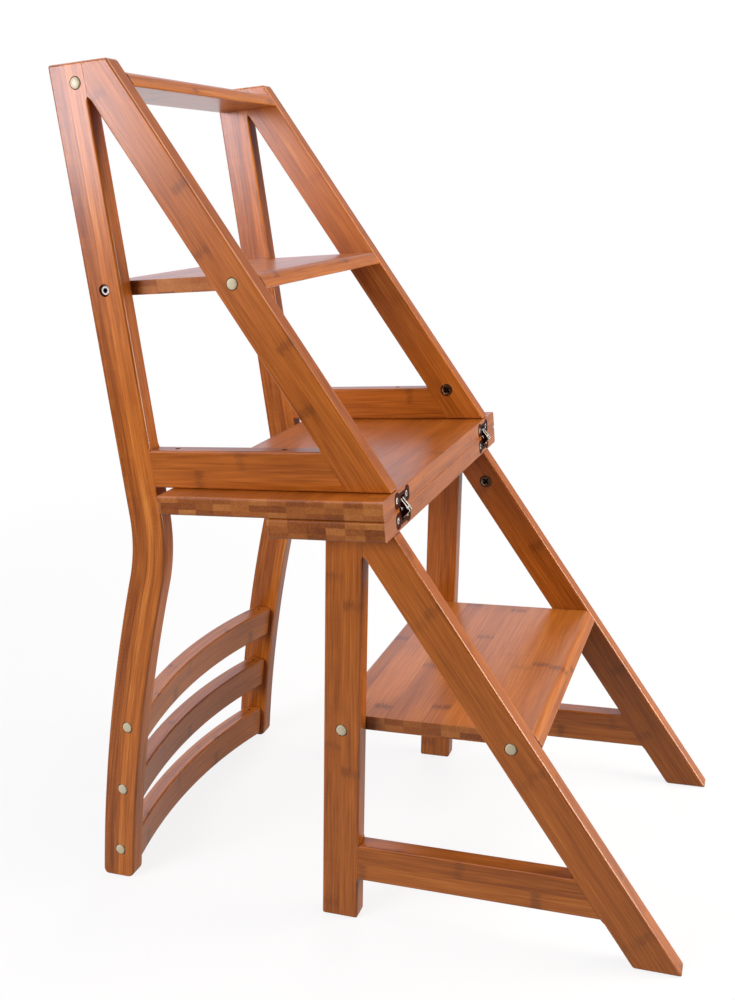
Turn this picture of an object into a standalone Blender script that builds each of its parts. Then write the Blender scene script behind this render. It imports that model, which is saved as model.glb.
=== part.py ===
"""Library step chair, standing as a four-tread ladder; its upper half folds over to make a chair.

Metres, +Z up, +X towards the climbing side, one half a mirror image of the other across Y.
"""

import math

import bmesh
import bpy
from mathutils import Matrix, Vector

# Heights: the two seat boards meet at the seam, half way up, so both modes stand level
SEAM_HEIGHT = 0.450
LADDER_HEIGHT = 2 * SEAM_HEIGHT

# Seat boards and the frames under and over them
SEAM_X = 0.0720  # front edge of both seat boards, where the fold axis runs
SEAT_WIDTH = 0.420
SEAT_THICK = 0.020
UPPER_SEAT_DEPTH = 0.243
LOWER_SEAT_DEPTH = 0.121
SEAT_OVERHANG = 0.028  # from the frames' outer faces to the seat boards' sides
SEAT_ROUND = 0.005
SEAT_CORNER = 0.006
BOARD_WIDE = 0.040
BOARD_THICK = 0.020
EDGE_ROUND = 0.0022

# Clearances
SEAT_GAP = 0.0003  # between two pieces that touch
NEST_GAP = 0.003  # between the two pairs of diagonals when folded to a chair

# Long posts: rear leg and back stile in one, straight above the seam and bent below it
POST_SETBACK = 0.2602  # from the seam's front edge back to the post's front face
POST_LEAN_SHARE = 0.065
BEND_LEAN_SHARE = 0.33
FOOT_LEAN_SHARE = 0.14
BEND_TOP_DROP = 0.010  # both below the seam
BEND_LOW_DROP = 0.088
POST_FOOT_ROUND = 0.008

# Diagonals, legs and rails
DIAGONAL_AHEAD = 0.0285  # of the post's front face, at the very top
DIAGONAL_TOE_ROUND = 0.006
LEG_SETBACK = 0.076  # from the seam's front edge back to the leg's front face at the floor
LEG_LEAN_SHARE = 0.0983
STRETCHER_LOW = 0.047

# Treads
TREAD_THICK = 0.015
TREAD_ROUND = 0.004
LOW_TREAD_SHARE = 0.501  # of the seam's height
MID_TREAD_SHARE = 0.521  # of the way from the seam to the top
TOP_TREAD_DROP = 0.0125  # below the posts' tops

# Back slats
SLAT_COUNT = 3
SLAT_HIGH = 0.041
SLAT_THICK = 0.020
SLAT_BOW = 0.020
SLAT_INSET = 0.013  # from the post's rear face forward to the slat's rear face
SLAT_LOW = 0.0265  # centre of the lowest slat
SLAT_PITCH = 0.078
CAP_ABOVE_SLAT = 0.009
TOP_CAP_FORWARD = 0.009  # from the post's middle

# Bolt caps, bare bolts and barrel nuts
CAP_HOLE_RADIUS = 0.0065
CAP_HOLE_DEPTH = 0.008
CAP_RADIUS = 0.0062
CAP_DEEP = 0.004
CAP_PROUD = 0.0014
BOLT_HEAD_RADIUS = 0.0050
BOLT_HEAD_HIGH = 0.0065
HEX_KEY = 0.0050
HEX_DEEP = 0.0030
NUT_RADIUS = 0.0075
NUT_THICK = 0.0100
NUT_SLOT_WIDE = 0.0016
NUT_SLOT_LONG = 0.0080
NUT_SLOT_DEEP = 0.0020
UPPER_NUT_RISE = 0.0376  # above the upper seat board's top face
LOWER_NUT_DROP = 0.0400  # below the lower seat board's bottom face
NUT_FROM_FRONT = 0.020
APRON_SCREW_RADIUS = 0.0030
APRON_SCREW_DEEP = 0.008
APRON_SCREW_INSETS = (0.028, 0.150)

# Concealed hinges let into the two seat boards' front edges
HINGE_FROM_SIDE = 0.0545
LEAF_LONG = 0.044
LEAF_HIGH = 0.0175
LEAF_THICK = 0.0025
LEAF_CORNER = 0.0070
LEAF_EDGE = 0.0008
LINK_RADIUS = 0.0112
LINK_THICK = 0.0026
LINK_SPREAD = 0.0068  # between the two link plates' middles
LINK_PIN_RADIUS = 0.0016
LINK_PIN_OUT = 0.0070
LINK_FACE = 0.0008
POCKET_RADIUS = 0.0122
POCKET_SIDE = 0.0008
TRUNNION_RADIUS = 0.0016
TRUNNION_LONG = 0.0040
SCREW_SPREAD = 0.028
SCREW_OFF_SEAM = 0.0100
SCREW_HEAD_RADIUS = 0.0034
SCREW_HEAD_DEEP = 0.0017
SCREW_HEAD_SUNK = 0.0003
SCREW_SHANK_RADIUS = 0.0016
SCREW_SHANK_LONG = 0.0045
SCREW_SLOT_WIDE = 0.0007
SCREW_SLOT_DEEP = 0.0009

# Finishes: linear colour, roughness, metallic
FINISH_SHARES = {
    "bamboo": ((0.46, 0.17, 0.045, 1.0), 0.36, 0.0),
    "cap": ((0.71, 0.69, 0.60, 1.0), 0.35, 0.0),
    "bright_steel": ((0.60, 0.58, 0.55, 1.0), 0.28, 1.0),
    "dark_steel": ((0.10, 0.08, 0.07, 1.0), 0.45, 1.0),
}
BEVEL_STEPS = 2
ARC_STEPS = 5
BEND_STEPS = 9
SWEEP_STEPS = 9
BOW_STEPS = 20
ROUND_STEPS = 24
SCREW_STEPS = 16
BEVEL_ANGLE_SHARE = 0.22  # of a half turn
OVERSIZE_SHARE = 1.6

# What follows from the sizes above
OUTER_Y = SEAT_WIDTH / 2 - SEAT_OVERHANG
INNER_Y = OUTER_Y - BOARD_THICK
HINGE_Y = SEAT_WIDTH / 2 - HINGE_FROM_SIDE
LINKS_HALF = (LINK_SPREAD + LINK_THICK) / 2
FRONT_X = SEAM_X - SEAT_GAP / 2
UPPER_SEAT_LOW = SEAM_HEIGHT + SEAT_GAP / 2
UPPER_SEAT_TOP = UPPER_SEAT_LOW + SEAT_THICK
LOWER_SEAT_TOP = SEAM_HEIGHT - SEAT_GAP / 2
LOWER_SEAT_LOW = LOWER_SEAT_TOP - SEAT_THICK
RAIL_ON_SEAT = UPPER_SEAT_TOP + SEAT_GAP
LEG_TOP = LOWER_SEAT_LOW - SEAT_GAP
BEND_TOP = SEAM_HEIGHT - BEND_TOP_DROP
BEND_LOW = SEAM_HEIGHT - BEND_LOW_DROP
LOW_TREAD_TOP = SEAM_HEIGHT * LOW_TREAD_SHARE
MID_TREAD_TOP = SEAM_HEIGHT + (LADDER_HEIGHT - SEAM_HEIGHT) * MID_TREAD_SHARE
TOP_TREAD_TOP = LADDER_HEIGHT - TOP_TREAD_DROP
SIDES = {"near": -1, "far": 1}


def line(x, z, lean):
    """A straight edge in the side view, as its x at height zero and its lean."""
    return (x - lean * z, lean)


def at(edge, z):
    return edge[0] + edge[1] * z


def shifted(edge, along_x):
    return (edge[0] + along_x, edge[1])


def across(edge, width):
    """The horizontal distance over a board of this width that leans as the edge does."""
    return width * math.hypot(1, edge[1])


def crossing(a, b):
    """Where two edges meet, as (x, z)."""
    z = (b[0] - a[0]) / (a[1] - b[1])
    return (at(a, z), z)


POST_FRONT = line(SEAM_X - POST_SETBACK, SEAM_HEIGHT, -POST_LEAN_SHARE)
POST_REAR = shifted(POST_FRONT, -across(POST_FRONT, BOARD_WIDE))
DIAGONAL_RUN = FRONT_X - DIAGONAL_AHEAD - at(POST_FRONT, LADDER_HEIGHT)
DIAGONAL_LEAN = -DIAGONAL_RUN / (LADDER_HEIGHT - UPPER_SEAT_TOP)
UPPER_DIAGONAL = line(FRONT_X, UPPER_SEAT_TOP, DIAGONAL_LEAN)
UPPER_DIAGONAL_REAR = shifted(UPPER_DIAGONAL, -across(UPPER_DIAGONAL, BOARD_WIDE))
LOWER_DIAGONAL = line(FRONT_X - NEST_GAP, LOWER_SEAT_LOW, DIAGONAL_LEAN)
LOWER_DIAGONAL_REAR = shifted(LOWER_DIAGONAL, -across(LOWER_DIAGONAL, BOARD_WIDE))
LEG_FRONT = line(SEAM_X - LEG_SETBACK, 0, LEG_LEAN_SHARE)
LEG_REAR = shifted(LEG_FRONT, -across(LEG_FRONT, BOARD_WIDE))


def ahead(edge):
    """The edge moved forward by the gap between touching pieces."""
    return shifted(edge, across(edge, SEAT_GAP))


def behind(edge):
    return shifted(edge, -across(edge, SEAT_GAP))


def post_middle(z):
    """The post's centre line below the bend's top, as (x, lean): the lean grows evenly
    through the bend, then eases evenly to the foot, so each stretch is a parabola."""
    x = at(POST_FRONT, BEND_TOP) - across(POST_FRONT, BOARD_WIDE) / 2
    bend = BEND_TOP - BEND_LOW
    down = min(BEND_TOP - z, bend)
    gain = (BEND_LEAN_SHARE + POST_LEAN_SHARE) / bend
    lean = gain * down - POST_LEAN_SHARE
    x -= gain * down * down / 2 - POST_LEAN_SHARE * down
    past = max(BEND_LOW - z, 0)
    ease = (BEND_LEAN_SHARE - FOOT_LEAN_SHARE) / BEND_LOW
    return (x - BEND_LEAN_SHARE * past + ease * past * past / 2, lean - ease * past)


def post_edge(z, side):
    """A point of the bent post's front (side 1) or rear (side -1) edge."""
    x, lean = post_middle(z)
    return (x + side * BOARD_WIDE / 2 * math.hypot(1, lean), z)


def filleted(outline, radii):
    """The outline with each corner that has a radius swapped for an arc of that radius."""
    rounded = []
    for i, corner in enumerate(outline):
        if not radii.get(i):
            rounded.append(corner)
            continue
        here = Vector(corner)
        back = (Vector(outline[i - 1]) - here).normalized()
        on = (Vector(outline[(i + 1) % len(outline)]) - here).normalized()
        half = back.angle(on) / 2
        middle = here + (back + on).normalized() * (radii[i] / math.sin(half))
        start = here + back * (radii[i] / math.tan(half)) - middle
        sweep = start.angle_signed(here + on * (radii[i] / math.tan(half)) - middle)
        for step in range(ARC_STEPS + 1):
            turn = Matrix.Rotation(-sweep * step / ARC_STEPS, 2)
            rounded.append(tuple(middle + turn @ start))
    return rounded


def new_object(name, mesh, finish=None, pivot=None):
    """Links an object; one that turns hangs on the empty that stands on its joint's axis."""
    obj = bpy.data.objects.new(name, mesh)
    bpy.context.scene.collection.objects.link(obj)
    if finish:
        mesh.materials.append(bpy.data.materials[finish])
    if pivot:
        mesh.transform(Matrix.Translation(-pivot.location))
        obj.parent = pivot
    return obj


def prism(name, outline, low, high, axis="Y"):
    """A mesh: the outline, in XZ or in XY, drawn out along Y or along Z from low to high."""
    shape = bmesh.new()

    def ring(level):
        if axis == "Y":
            return [shape.verts.new((x, level, z)) for x, z in outline]
        return [shape.verts.new((x, y, level)) for x, y in outline]

    first, second = ring(low), ring(high)
    shape.faces.new(first)
    shape.faces.new(second)
    for i in range(len(outline)):
        shape.faces.new((first[i - 1], first[i], second[i], second[i - 1]))
    bmesh.ops.recalc_face_normals(shape, faces=shape.faces)
    mesh = bpy.data.meshes.new(name)
    shape.to_mesh(mesh)
    shape.free()
    return mesh


def turned(name, profile, steps):
    """A mesh: the profile of (radius, height) turned once round Z, closed on the axis."""
    shape = bmesh.new()
    rings = []
    for radius, height in profile:
        if not radius:
            rings.append([shape.verts.new((0, 0, height))] * steps)
            continue
        angles = [2 * math.pi * i / steps for i in range(steps)]
        spots = [(radius * math.cos(a), radius * math.sin(a), height) for a in angles]
        rings.append([shape.verts.new(spot) for spot in spots])
    for low, high in zip(rings, rings[1:]):
        for i in range(steps):
            corners = dict.fromkeys((low[i - 1], low[i], high[i], high[i - 1]))
            shape.faces.new(list(corners))
    bmesh.ops.recalc_face_normals(shape, faces=shape.faces)
    mesh = bpy.data.meshes.new(name)
    shape.to_mesh(mesh)
    shape.free()
    mesh.shade_smooth()
    mesh.set_sharp_from_angle(angle=math.pi * BEVEL_ANGLE_SHARE)
    return mesh


def box(name, centre, size):
    x, y, z = (side / 2 for side in size)
    mesh = prism(name, [(-x, -z), (x, -z), (x, z), (-x, z)], -y, y)
    mesh.transform(Matrix.Translation(centre))
    return mesh


def joined(name, meshes):
    """One mesh of several that don't meet, for a cutter."""
    shape = bmesh.new()
    for mesh in meshes:
        shape.from_mesh(mesh)
    whole = bpy.data.meshes.new(name)
    shape.to_mesh(whole)
    shape.free()
    return whole


def soften(obj, width, limit="ANGLE"):
    bevel = obj.modifiers.new("soft_edges", "BEVEL")
    bevel.width = width
    bevel.segments = BEVEL_STEPS
    bevel.limit_method = limit
    bevel.angle_limit = math.pi * BEVEL_ANGLE_SHARE
    bevel.use_clamp_overlap = True
    obj.data.shade_smooth()
    obj.data.set_sharp_from_angle(angle=math.pi * BEVEL_ANGLE_SHARE)


def cut(obj, meshes, pivot=None):
    """Takes the meshes, which don't meet one another, out of the object."""
    cutter = new_object(obj.name + "_cutter", joined(obj.name + "_cutter", meshes), pivot=pivot)
    cutter.hide_render = True
    cutter.display_type = "WIRE"
    hole = obj.modifiers.new("holes", "BOOLEAN")
    hole.object = cutter
    hole.solver = "EXACT"


def facing(x, y, z, side):
    """Places something turned about Z so that its +Z points out along side times Y."""
    return Matrix.Translation((x, y, z)) @ Matrix.Rotation(-side * math.pi / 2, 4, "X")


def bore(x, z, radius, deep, side, face=OUTER_Y):
    """A cutter into a face square to Y: side is the way the face looks."""
    over = radius * OVERSIZE_SHARE
    mesh = turned("bore", [(0, -deep), (radius, -deep), (radius, over), (0, over)], ROUND_STEPS)
    mesh.transform(facing(x, side * face, z, side))
    return mesh


def board(name, outline, side, bores, pivot=None):
    """A board of one side's frame, in the side view's plane, with its holes."""
    low, high = sorted((side * INNER_Y, side * OUTER_Y))
    obj = new_object(name, prism(name, outline, low, high), "bamboo", pivot)
    soften(obj, EDGE_ROUND)
    if bores:
        cut(obj, bores, pivot)
    return obj


def slats():
    """Each back slat as (name, centre height, x of its rear face at the posts, lean)."""
    found = []
    for i in range(SLAT_COUNT):
        z = SLAT_LOW + i * SLAT_PITCH
        lean = post_middle(z)[1]
        x = post_edge(z, -1)[0] + across((0, lean), SLAT_INSET)
        found.append((f"back_slat_{i + 1}", z, x, lean))
    return found


def upper_fixings():
    """Where the upper half's bolts go in, as (name, board, x, z, what shows in the hole)."""
    top_z = TOP_TREAD_TOP - TREAD_THICK / 2
    mid_z = MID_TREAD_TOP - TREAD_THICK / 2
    half = across(POST_FRONT, BOARD_WIDE) / 2
    slant = across(UPPER_DIAGONAL, BOARD_WIDE) / 2
    found = [
        ("top_tread", "post", at(POST_FRONT, top_z) - half + TOP_CAP_FORWARD, top_z, "cap"),
        ("mid_tread_rear", "post", at(POST_FRONT, mid_z) - half, mid_z, "bolt"),
        ("mid_tread_front", "diagonal", at(UPPER_DIAGONAL, mid_z) - slant, mid_z, "cap"),
    ]
    for name, z, x, lean in slats():
        bolt_z = z + CAP_ABOVE_SLAT
        found.append((name, "post", x + SLAT_THICK / 2 + lean * CAP_ABOVE_SLAT, bolt_z, "cap"))
    return found


def lower_fixings():
    z = LOW_TREAD_TOP - TREAD_THICK / 2
    half = across(LEG_FRONT, BOARD_WIDE) / 2
    slant = across(LOWER_DIAGONAL, BOARD_WIDE) / 2
    return [
        ("low_tread_rear", "leg", at(LEG_FRONT, z) - half, z, "cap"),
        ("low_tread_front", "diagonal", at(LOWER_DIAGONAL, z) - slant, z, "cap"),
    ]


def fixing_bores(fixings, which, side):
    spots = [(x, z) for _, where, x, z, _ in fixings if where == which]
    return [bore(x, z, CAP_HOLE_RADIUS, CAP_HOLE_DEPTH, side) for x, z in spots]


def nut_bore(x, z, side):
    return bore(x, z, NUT_RADIUS + SEAT_GAP, NUT_THICK + SEAT_GAP, -side, -INNER_Y)


def post(name, side, pivot):
    """Rear leg and back stile in one: straight above the seam, bent and swept back below it."""
    stations = [BEND_LOW * i / SWEEP_STEPS for i in range(SWEEP_STEPS)]
    stations += [BEND_LOW + (BEND_TOP - BEND_LOW) * i / BEND_STEPS for i in range(BEND_STEPS + 1)]
    front = [post_edge(z, 1) for z in stations] + [(at(POST_FRONT, LADDER_HEIGHT), LADDER_HEIGHT)]
    rear = [post_edge(z, -1) for z in stations] + [(at(POST_REAR, LADDER_HEIGHT), LADDER_HEIGHT)]
    outline = front + rear[::-1]
    radii = {0: POST_FOOT_ROUND, len(outline) - 1: POST_FOOT_ROUND}
    return board(name, filleted(outline, radii), side, fixing_bores(upper_fixings(), "post", side), pivot)


def upper_diagonal(name, side, pivot):
    post_face = ahead(POST_FRONT)
    outline = [
        (at(UPPER_DIAGONAL, RAIL_ON_SEAT), RAIL_ON_SEAT),
        (at(UPPER_DIAGONAL, LADDER_HEIGHT), LADDER_HEIGHT),
        (at(post_face, LADDER_HEIGHT), LADDER_HEIGHT),
        crossing(post_face, UPPER_DIAGONAL_REAR),
        (at(UPPER_DIAGONAL_REAR, RAIL_ON_SEAT), RAIL_ON_SEAT),
    ]
    z = UPPER_SEAT_TOP + UPPER_NUT_RISE
    bores = fixing_bores(upper_fixings(), "diagonal", side)
    bores.append(nut_bore(at(UPPER_DIAGONAL, z) - across(UPPER_DIAGONAL, NUT_FROM_FRONT), z, side))
    return board(name, outline, side, bores, pivot)


def apron(name, side, pivot):
    """The rail on the upper seat board, from the post to the diagonal, with its screw holes."""
    low, high = RAIL_ON_SEAT, RAIL_ON_SEAT + BOARD_WIDE
    rear, front = ahead(POST_FRONT), behind(UPPER_DIAGONAL_REAR)
    outline = [(at(rear, low), low), (at(front, low), low), (at(front, high), high), (at(rear, high), high)]
    obj = board(name, outline, side, [], pivot)
    holes = []
    for inset in APRON_SCREW_INSETS:
        deep, over = APRON_SCREW_DEEP, APRON_SCREW_RADIUS
        profile = [(0, -deep), (APRON_SCREW_RADIUS, -deep), (APRON_SCREW_RADIUS, over), (0, over)]
        hole = turned("screw_hole", profile, SCREW_STEPS)
        hole.transform(Matrix.Translation((at(rear, high) + inset, side * (INNER_Y + OUTER_Y) / 2, high)))
        holes.append(hole)
    cut(obj, holes, pivot)
    return obj


def lower_leg(name, side):
    corners = ((LEG_FRONT, 0), (LEG_FRONT, LEG_TOP), (LEG_REAR, LEG_TOP), (LEG_REAR, 0))
    outline = [(at(edge, z), z) for edge, z in corners]
    return board(name, outline, side, fixing_bores(lower_fixings(), "leg", side))


def lower_diagonal(name, side):
    leg_face = ahead(LEG_FRONT)
    outline = [
        (at(LOWER_DIAGONAL, 0), 0),
        (at(LOWER_DIAGONAL, LEG_TOP), LEG_TOP),
        (at(leg_face, LEG_TOP), LEG_TOP),
        crossing(leg_face, LOWER_DIAGONAL_REAR),
        (at(LOWER_DIAGONAL_REAR, 0), 0),
    ]
    z = LOWER_SEAT_LOW - LOWER_NUT_DROP
    bores = fixing_bores(lower_fixings(), "diagonal", side)
    bores.append(nut_bore(at(LOWER_DIAGONAL, z) - across(LOWER_DIAGONAL, NUT_FROM_FRONT), z, side))
    return board(name, filleted(outline, {1: DIAGONAL_TOE_ROUND}), side, bores)


def stretcher(name, side):
    low, high = STRETCHER_LOW, STRETCHER_LOW + BOARD_WIDE
    rear, front = ahead(LEG_FRONT), behind(LOWER_DIAGONAL_REAR)
    outline = [(at(rear, low), low), (at(front, low), low), (at(front, high), high), (at(rear, high), high)]
    return board(name, outline, side, [])


def tread(name, top, rear_edge, front_edge, pivot=None):
    """A tread between the two frames; its front and rear faces follow the boards it joins."""
    low = top - TREAD_THICK
    corners = ((rear_edge, low), (front_edge, low), (front_edge, top), (rear_edge, top))
    half = INNER_Y - SEAT_GAP
    radii = dict.fromkeys(range(len(corners)), TREAD_ROUND)
    outline = filleted([(at(edge, z), z) for edge, z in corners], radii)
    return new_object(name, prism(name, outline, -half, half), "bamboo", pivot)


def slat(name, z, rear_x, lean, pivot):
    """A bowed slat: both faces are the same parabola, x = bow (y / half)^2, a thickness apart."""
    half = INNER_Y - SEAT_GAP
    spans = [half * (2 * i / BOW_STEPS - 1) for i in range(BOW_STEPS + 1)]
    rear = [(SLAT_BOW * ((y / half) ** 2 - 1), y) for y in spans]
    front = [(x + SLAT_THICK, y) for x, y in rear]
    mesh = prism(name, rear + front[::-1], -SLAT_HIGH / 2, SLAT_HIGH / 2, "Z")
    mesh.transform(Matrix.Translation((rear_x, 0, z)) @ Matrix.Rotation(math.atan(lean), 4, "Y"))
    obj = new_object(name, mesh, "bamboo", pivot)
    soften(obj, EDGE_ROUND)
    return obj


def hinge_cuts(upper):
    """The seats for the leaves in one seat board's front edge."""
    way = 1 if upper else -1
    leaf = LEAF_THICK + SEAT_GAP
    meshes = []
    over = LEAF_HIGH * OVERSIZE_SHARE
    high = LEAF_EDGE + LEAF_HIGH + SEAT_GAP
    for side in SIDES.values():
        size = (leaf + over, LEAF_LONG + 2 * SEAT_GAP, high + over)
        centre = (FRONT_X + (over - leaf) / 2, side * HINGE_Y, SEAM_HEIGHT + way * (high - over) / 2)
        meshes.append(box("leaf_seat", centre, size))
    return meshes


def link_pocket(y):
    """A round pocket on the fold axis for the two links, with a seat for their trunnions."""
    half, radius = LINKS_HALF + POCKET_SIDE, POCKET_RADIUS
    end, seat = LINKS_HALF + TRUNNION_LONG + SEAT_GAP, TRUNNION_RADIUS + SEAT_GAP
    profile = [(0, -end), (seat, -end), (seat, -half), (radius, -half)]
    profile += [(radius, half), (seat, half), (seat, end), (0, end)]
    mesh = turned("pocket", profile, ROUND_STEPS)
    mesh.transform(facing(SEAM_X, y, SEAM_HEIGHT, 1))
    return mesh


def seat_board(name, depth, upper, pivot=None):
    """A seat board: square along the fold, rounded over on its sides and its free edge."""
    low, high = (UPPER_SEAT_LOW, UPPER_SEAT_TOP) if upper else (LOWER_SEAT_LOW, LOWER_SEAT_TOP)
    half = SEAT_WIDTH / 2
    corners = [(FRONT_X, -half), (FRONT_X, half), (FRONT_X - depth, half), (FRONT_X - depth, -half)]
    mesh = prism(name, filleted(corners, {2: SEAT_CORNER, 3: SEAT_CORNER}), low, high, "Z")
    weights = mesh.attributes.new("bevel_weight_edge", "FLOAT", "EDGE")
    at_front = [abs(vertex.co.x - FRONT_X) < SEAT_GAP for vertex in mesh.vertices]
    flat = [abs(vertex.co.z - low) < SEAT_GAP for vertex in mesh.vertices]
    for edge in mesh.edges:
        a, b = edge.vertices
        if flat[a] == flat[b] and not (at_front[a] and at_front[b]):
            weights.data[edge.index].value = 1
    obj = new_object(name, mesh, "bamboo", pivot)
    soften(obj, SEAT_ROUND, "WEIGHT")
    cut(obj, hinge_cuts(upper), pivot)
    for side in SIDES.values():
        cut(obj, [link_pocket(side * HINGE_Y)], pivot)
    return obj


def cap(name, x, z, side, pivot):
    """A domed plastic cap pressed into the hole over a bolt's head."""
    rim = CAP_PROUD * math.cos(math.pi / 4)
    profile = [(0, -CAP_DEEP), (CAP_RADIUS, -CAP_DEEP), (CAP_RADIUS, 0)]
    profile += [(CAP_RADIUS * math.cos(math.pi / 8), rim / 2), (CAP_RADIUS / 2, CAP_PROUD - rim / 4)]
    profile.append((0, CAP_PROUD))
    mesh = turned(name, profile, ROUND_STEPS)
    mesh.transform(facing(x, side * OUTER_Y, z, side))
    return new_object(name, mesh, "cap", pivot)


def bare_bolt(name, x, z, side, pivot):
    """A bolt's head with a six-sided key socket, seated in a hole that has lost its cap."""
    low = SEAT_GAP - CAP_HOLE_DEPTH
    face = low + BOLT_HEAD_HIGH
    edge = EDGE_ROUND / 4
    radius = BOLT_HEAD_RADIUS
    profile = [(0, low), (radius, low), (radius, face - edge), (radius - edge, face), (0, face)]
    mesh = turned(name, profile, ROUND_STEPS)
    spot = facing(x, side * OUTER_Y, z, side)
    mesh.transform(spot)
    obj = new_object(name, mesh, "bright_steel", pivot)
    corner, low = HEX_KEY / math.sqrt(3), face - HEX_DEEP
    socket = turned("socket", [(0, low), (corner, low), (corner, HEX_DEEP), (0, HEX_DEEP)], 6)
    socket.transform(spot)
    cut(obj, [socket], pivot)
    return obj


def barrel_nut(name, x, z, side, pivot):
    """A cross-slotted barrel nut let into the board's inner face."""
    spot = facing(x, side * INNER_Y, z, -side)
    profile = [(0, -NUT_THICK), (NUT_RADIUS, -NUT_THICK), (NUT_RADIUS, 0), (0, 0)]
    mesh = turned(name, profile, ROUND_STEPS)
    mesh.transform(spot)
    obj = new_object(name, mesh, "dark_steel", pivot)
    cuts = []
    for turn in (-math.pi / 4, math.pi / 4):
        slot = box("slot", (0, 0, 0), (NUT_SLOT_LONG, NUT_SLOT_WIDE, 2 * NUT_SLOT_DEEP))
        slot.transform(spot @ Matrix.Rotation(turn, 4, "Z"))
        cuts.append(slot)
    for slot in cuts:
        cut(obj, [slot], pivot)
    return obj


def hinge_leaf(name, y, upper, pivot):
    """A leaf with a screw at each end and a gap in the middle for the links."""
    way = 1 if upper else -1
    half = LEAF_LONG / 2
    near, off = LEAF_EDGE, LEAF_EDGE + LEAF_HIGH
    corners = [(-half, near), (half, near), (half, off), (-half, off)]
    radii = {0: LEAF_CORNER / 2, 1: LEAF_CORNER / 2, 2: LEAF_CORNER, 3: LEAF_CORNER}
    outline = [(y + along, SEAM_HEIGHT + way * up) for along, up in filleted(corners, radii)]
    mesh = prism(name, outline, 0, LEAF_THICK)
    mesh.transform(Matrix.Translation((FRONT_X, 0, 0)) @ Matrix.Rotation(math.pi / 2, 4, "Z"))
    obj = new_object(name, mesh, "dark_steel", pivot)
    cut(obj, [link_pocket(y)], pivot)
    sinks = []
    for end in (-1, 1):
        radius, shank = SCREW_HEAD_RADIUS + SEAT_GAP, SCREW_SHANK_RADIUS + SEAT_GAP
        face = -SCREW_HEAD_SUNK
        through, neck = -2 * LEAF_THICK, face - SCREW_HEAD_DEEP - SEAT_GAP
        profile = [(0, through), (shank, through), (shank, neck)]
        profile += [(radius, face - 2 * SEAT_GAP), (radius, LEAF_THICK), (0, LEAF_THICK)]
        hole = turned("sink", profile, SCREW_STEPS)
        hole.transform(screw_place(y, end, way))
        sinks.append(hole)
    cut(obj, sinks, pivot)
    return obj


def screw_place(y, end, way):
    spot = (FRONT_X, y + end * SCREW_SPREAD / 2, SEAM_HEIGHT + way * SCREW_OFF_SEAM)
    return Matrix.Translation(spot) @ Matrix.Rotation(math.pi / 2, 4, "Y")


def hinge_screw(name, y, end, upper, pivot):
    """A countersunk screw with a straight slot, its shank short enough to stay in the board."""
    way = 1 if upper else -1
    face = -SCREW_HEAD_SUNK
    shank_end = face - SCREW_SHANK_LONG
    profile = [(0, shank_end), (SCREW_SHANK_RADIUS, shank_end), (SCREW_SHANK_RADIUS, face - SCREW_HEAD_DEEP)]
    profile += [(SCREW_HEAD_RADIUS, face - SEAT_GAP), (SCREW_HEAD_RADIUS, face), (0, face)]
    mesh = turned(name, profile, SCREW_STEPS)
    mesh.transform(screw_place(y, end, way))
    obj = new_object(name, mesh, "bright_steel", pivot)
    slot = box("slot", (0, 0, face), (4 * SCREW_HEAD_RADIUS, SCREW_SLOT_WIDE, 2 * SCREW_SLOT_DEEP))
    slot.transform(screw_place(y, end, way))
    cut(obj, [slot], pivot)
    return obj


def hinge_links(name, y, pivot):
    """The link pack: two half-round plates, a pin that ties them, and the trunnions on the
    fold axis that carry them. It stands out of the edges in the ladder and drops into the
    pockets in the chair, because it turns by half the fold's angle."""
    turns = [2 * math.pi * i / ROUND_STEPS for i in range(ROUND_STEPS // 2 + 1)]
    arc = [(LINK_RADIUS * math.sin(t), LINK_RADIUS * math.cos(t)) for t in turns]
    outline = [(SEAM_X + max(x, LINK_FACE), SEAM_HEIGHT + z) for x, z in arc]
    plates = []
    for side in SIDES.values():
        middle = y + side * LINK_SPREAD / 2
        plates.append(prism("plate", outline, middle - LINK_THICK / 2, middle + LINK_THICK / 2))
    obj = new_object(name, plates[0], "bright_steel", pivot)
    half, radius = LINK_SPREAD / 2, LINK_PIN_RADIUS
    pin = turned("pin", [(0, -half), (radius, -half), (radius, half), (0, half)], SCREW_STEPS)
    pin.transform(facing(SEAM_X + LINK_PIN_OUT, y, SEAM_HEIGHT, 1))
    half, radius = LINKS_HALF + TRUNNION_LONG, TRUNNION_RADIUS
    trunnion = turned("trunnion", [(0, -half), (radius, -half), (radius, half), (0, half)], SCREW_STEPS)
    trunnion.transform(facing(SEAM_X, y, SEAM_HEIGHT, 1))
    for number, mesh in enumerate((plates[1], pin, trunnion)):
        other = new_object(f"{name}_join_{number}", mesh, pivot=pivot)
        other.hide_render = True
        other.display_type = "WIRE"
        union = obj.modifiers.new("join", "BOOLEAN")
        union.operation = "UNION"
        union.object = other
        union.solver = "EXACT"
    return obj


def fixing(name, x, z, shows, side, pivot=None):
    if shows == "bolt":
        return bare_bolt("bolt_" + name, x, z, side, pivot)
    return cap("cap_" + name, x, z, side, pivot)


def pilot_holes(y, way):
    """Room for the screws' shanks behind the leaves."""
    meshes = []
    for end in (-1, 1):
        radius = SCREW_SHANK_RADIUS + SEAT_GAP
        deep = SCREW_HEAD_SUNK + SCREW_SHANK_LONG + SEAT_GAP
        hole = turned("pilot", [(0, -deep), (radius, -deep), (radius, deep), (0, deep)], SCREW_STEPS)
        hole.transform(screw_place(y, end, way))
        meshes.append(hole)
    return meshes


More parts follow.
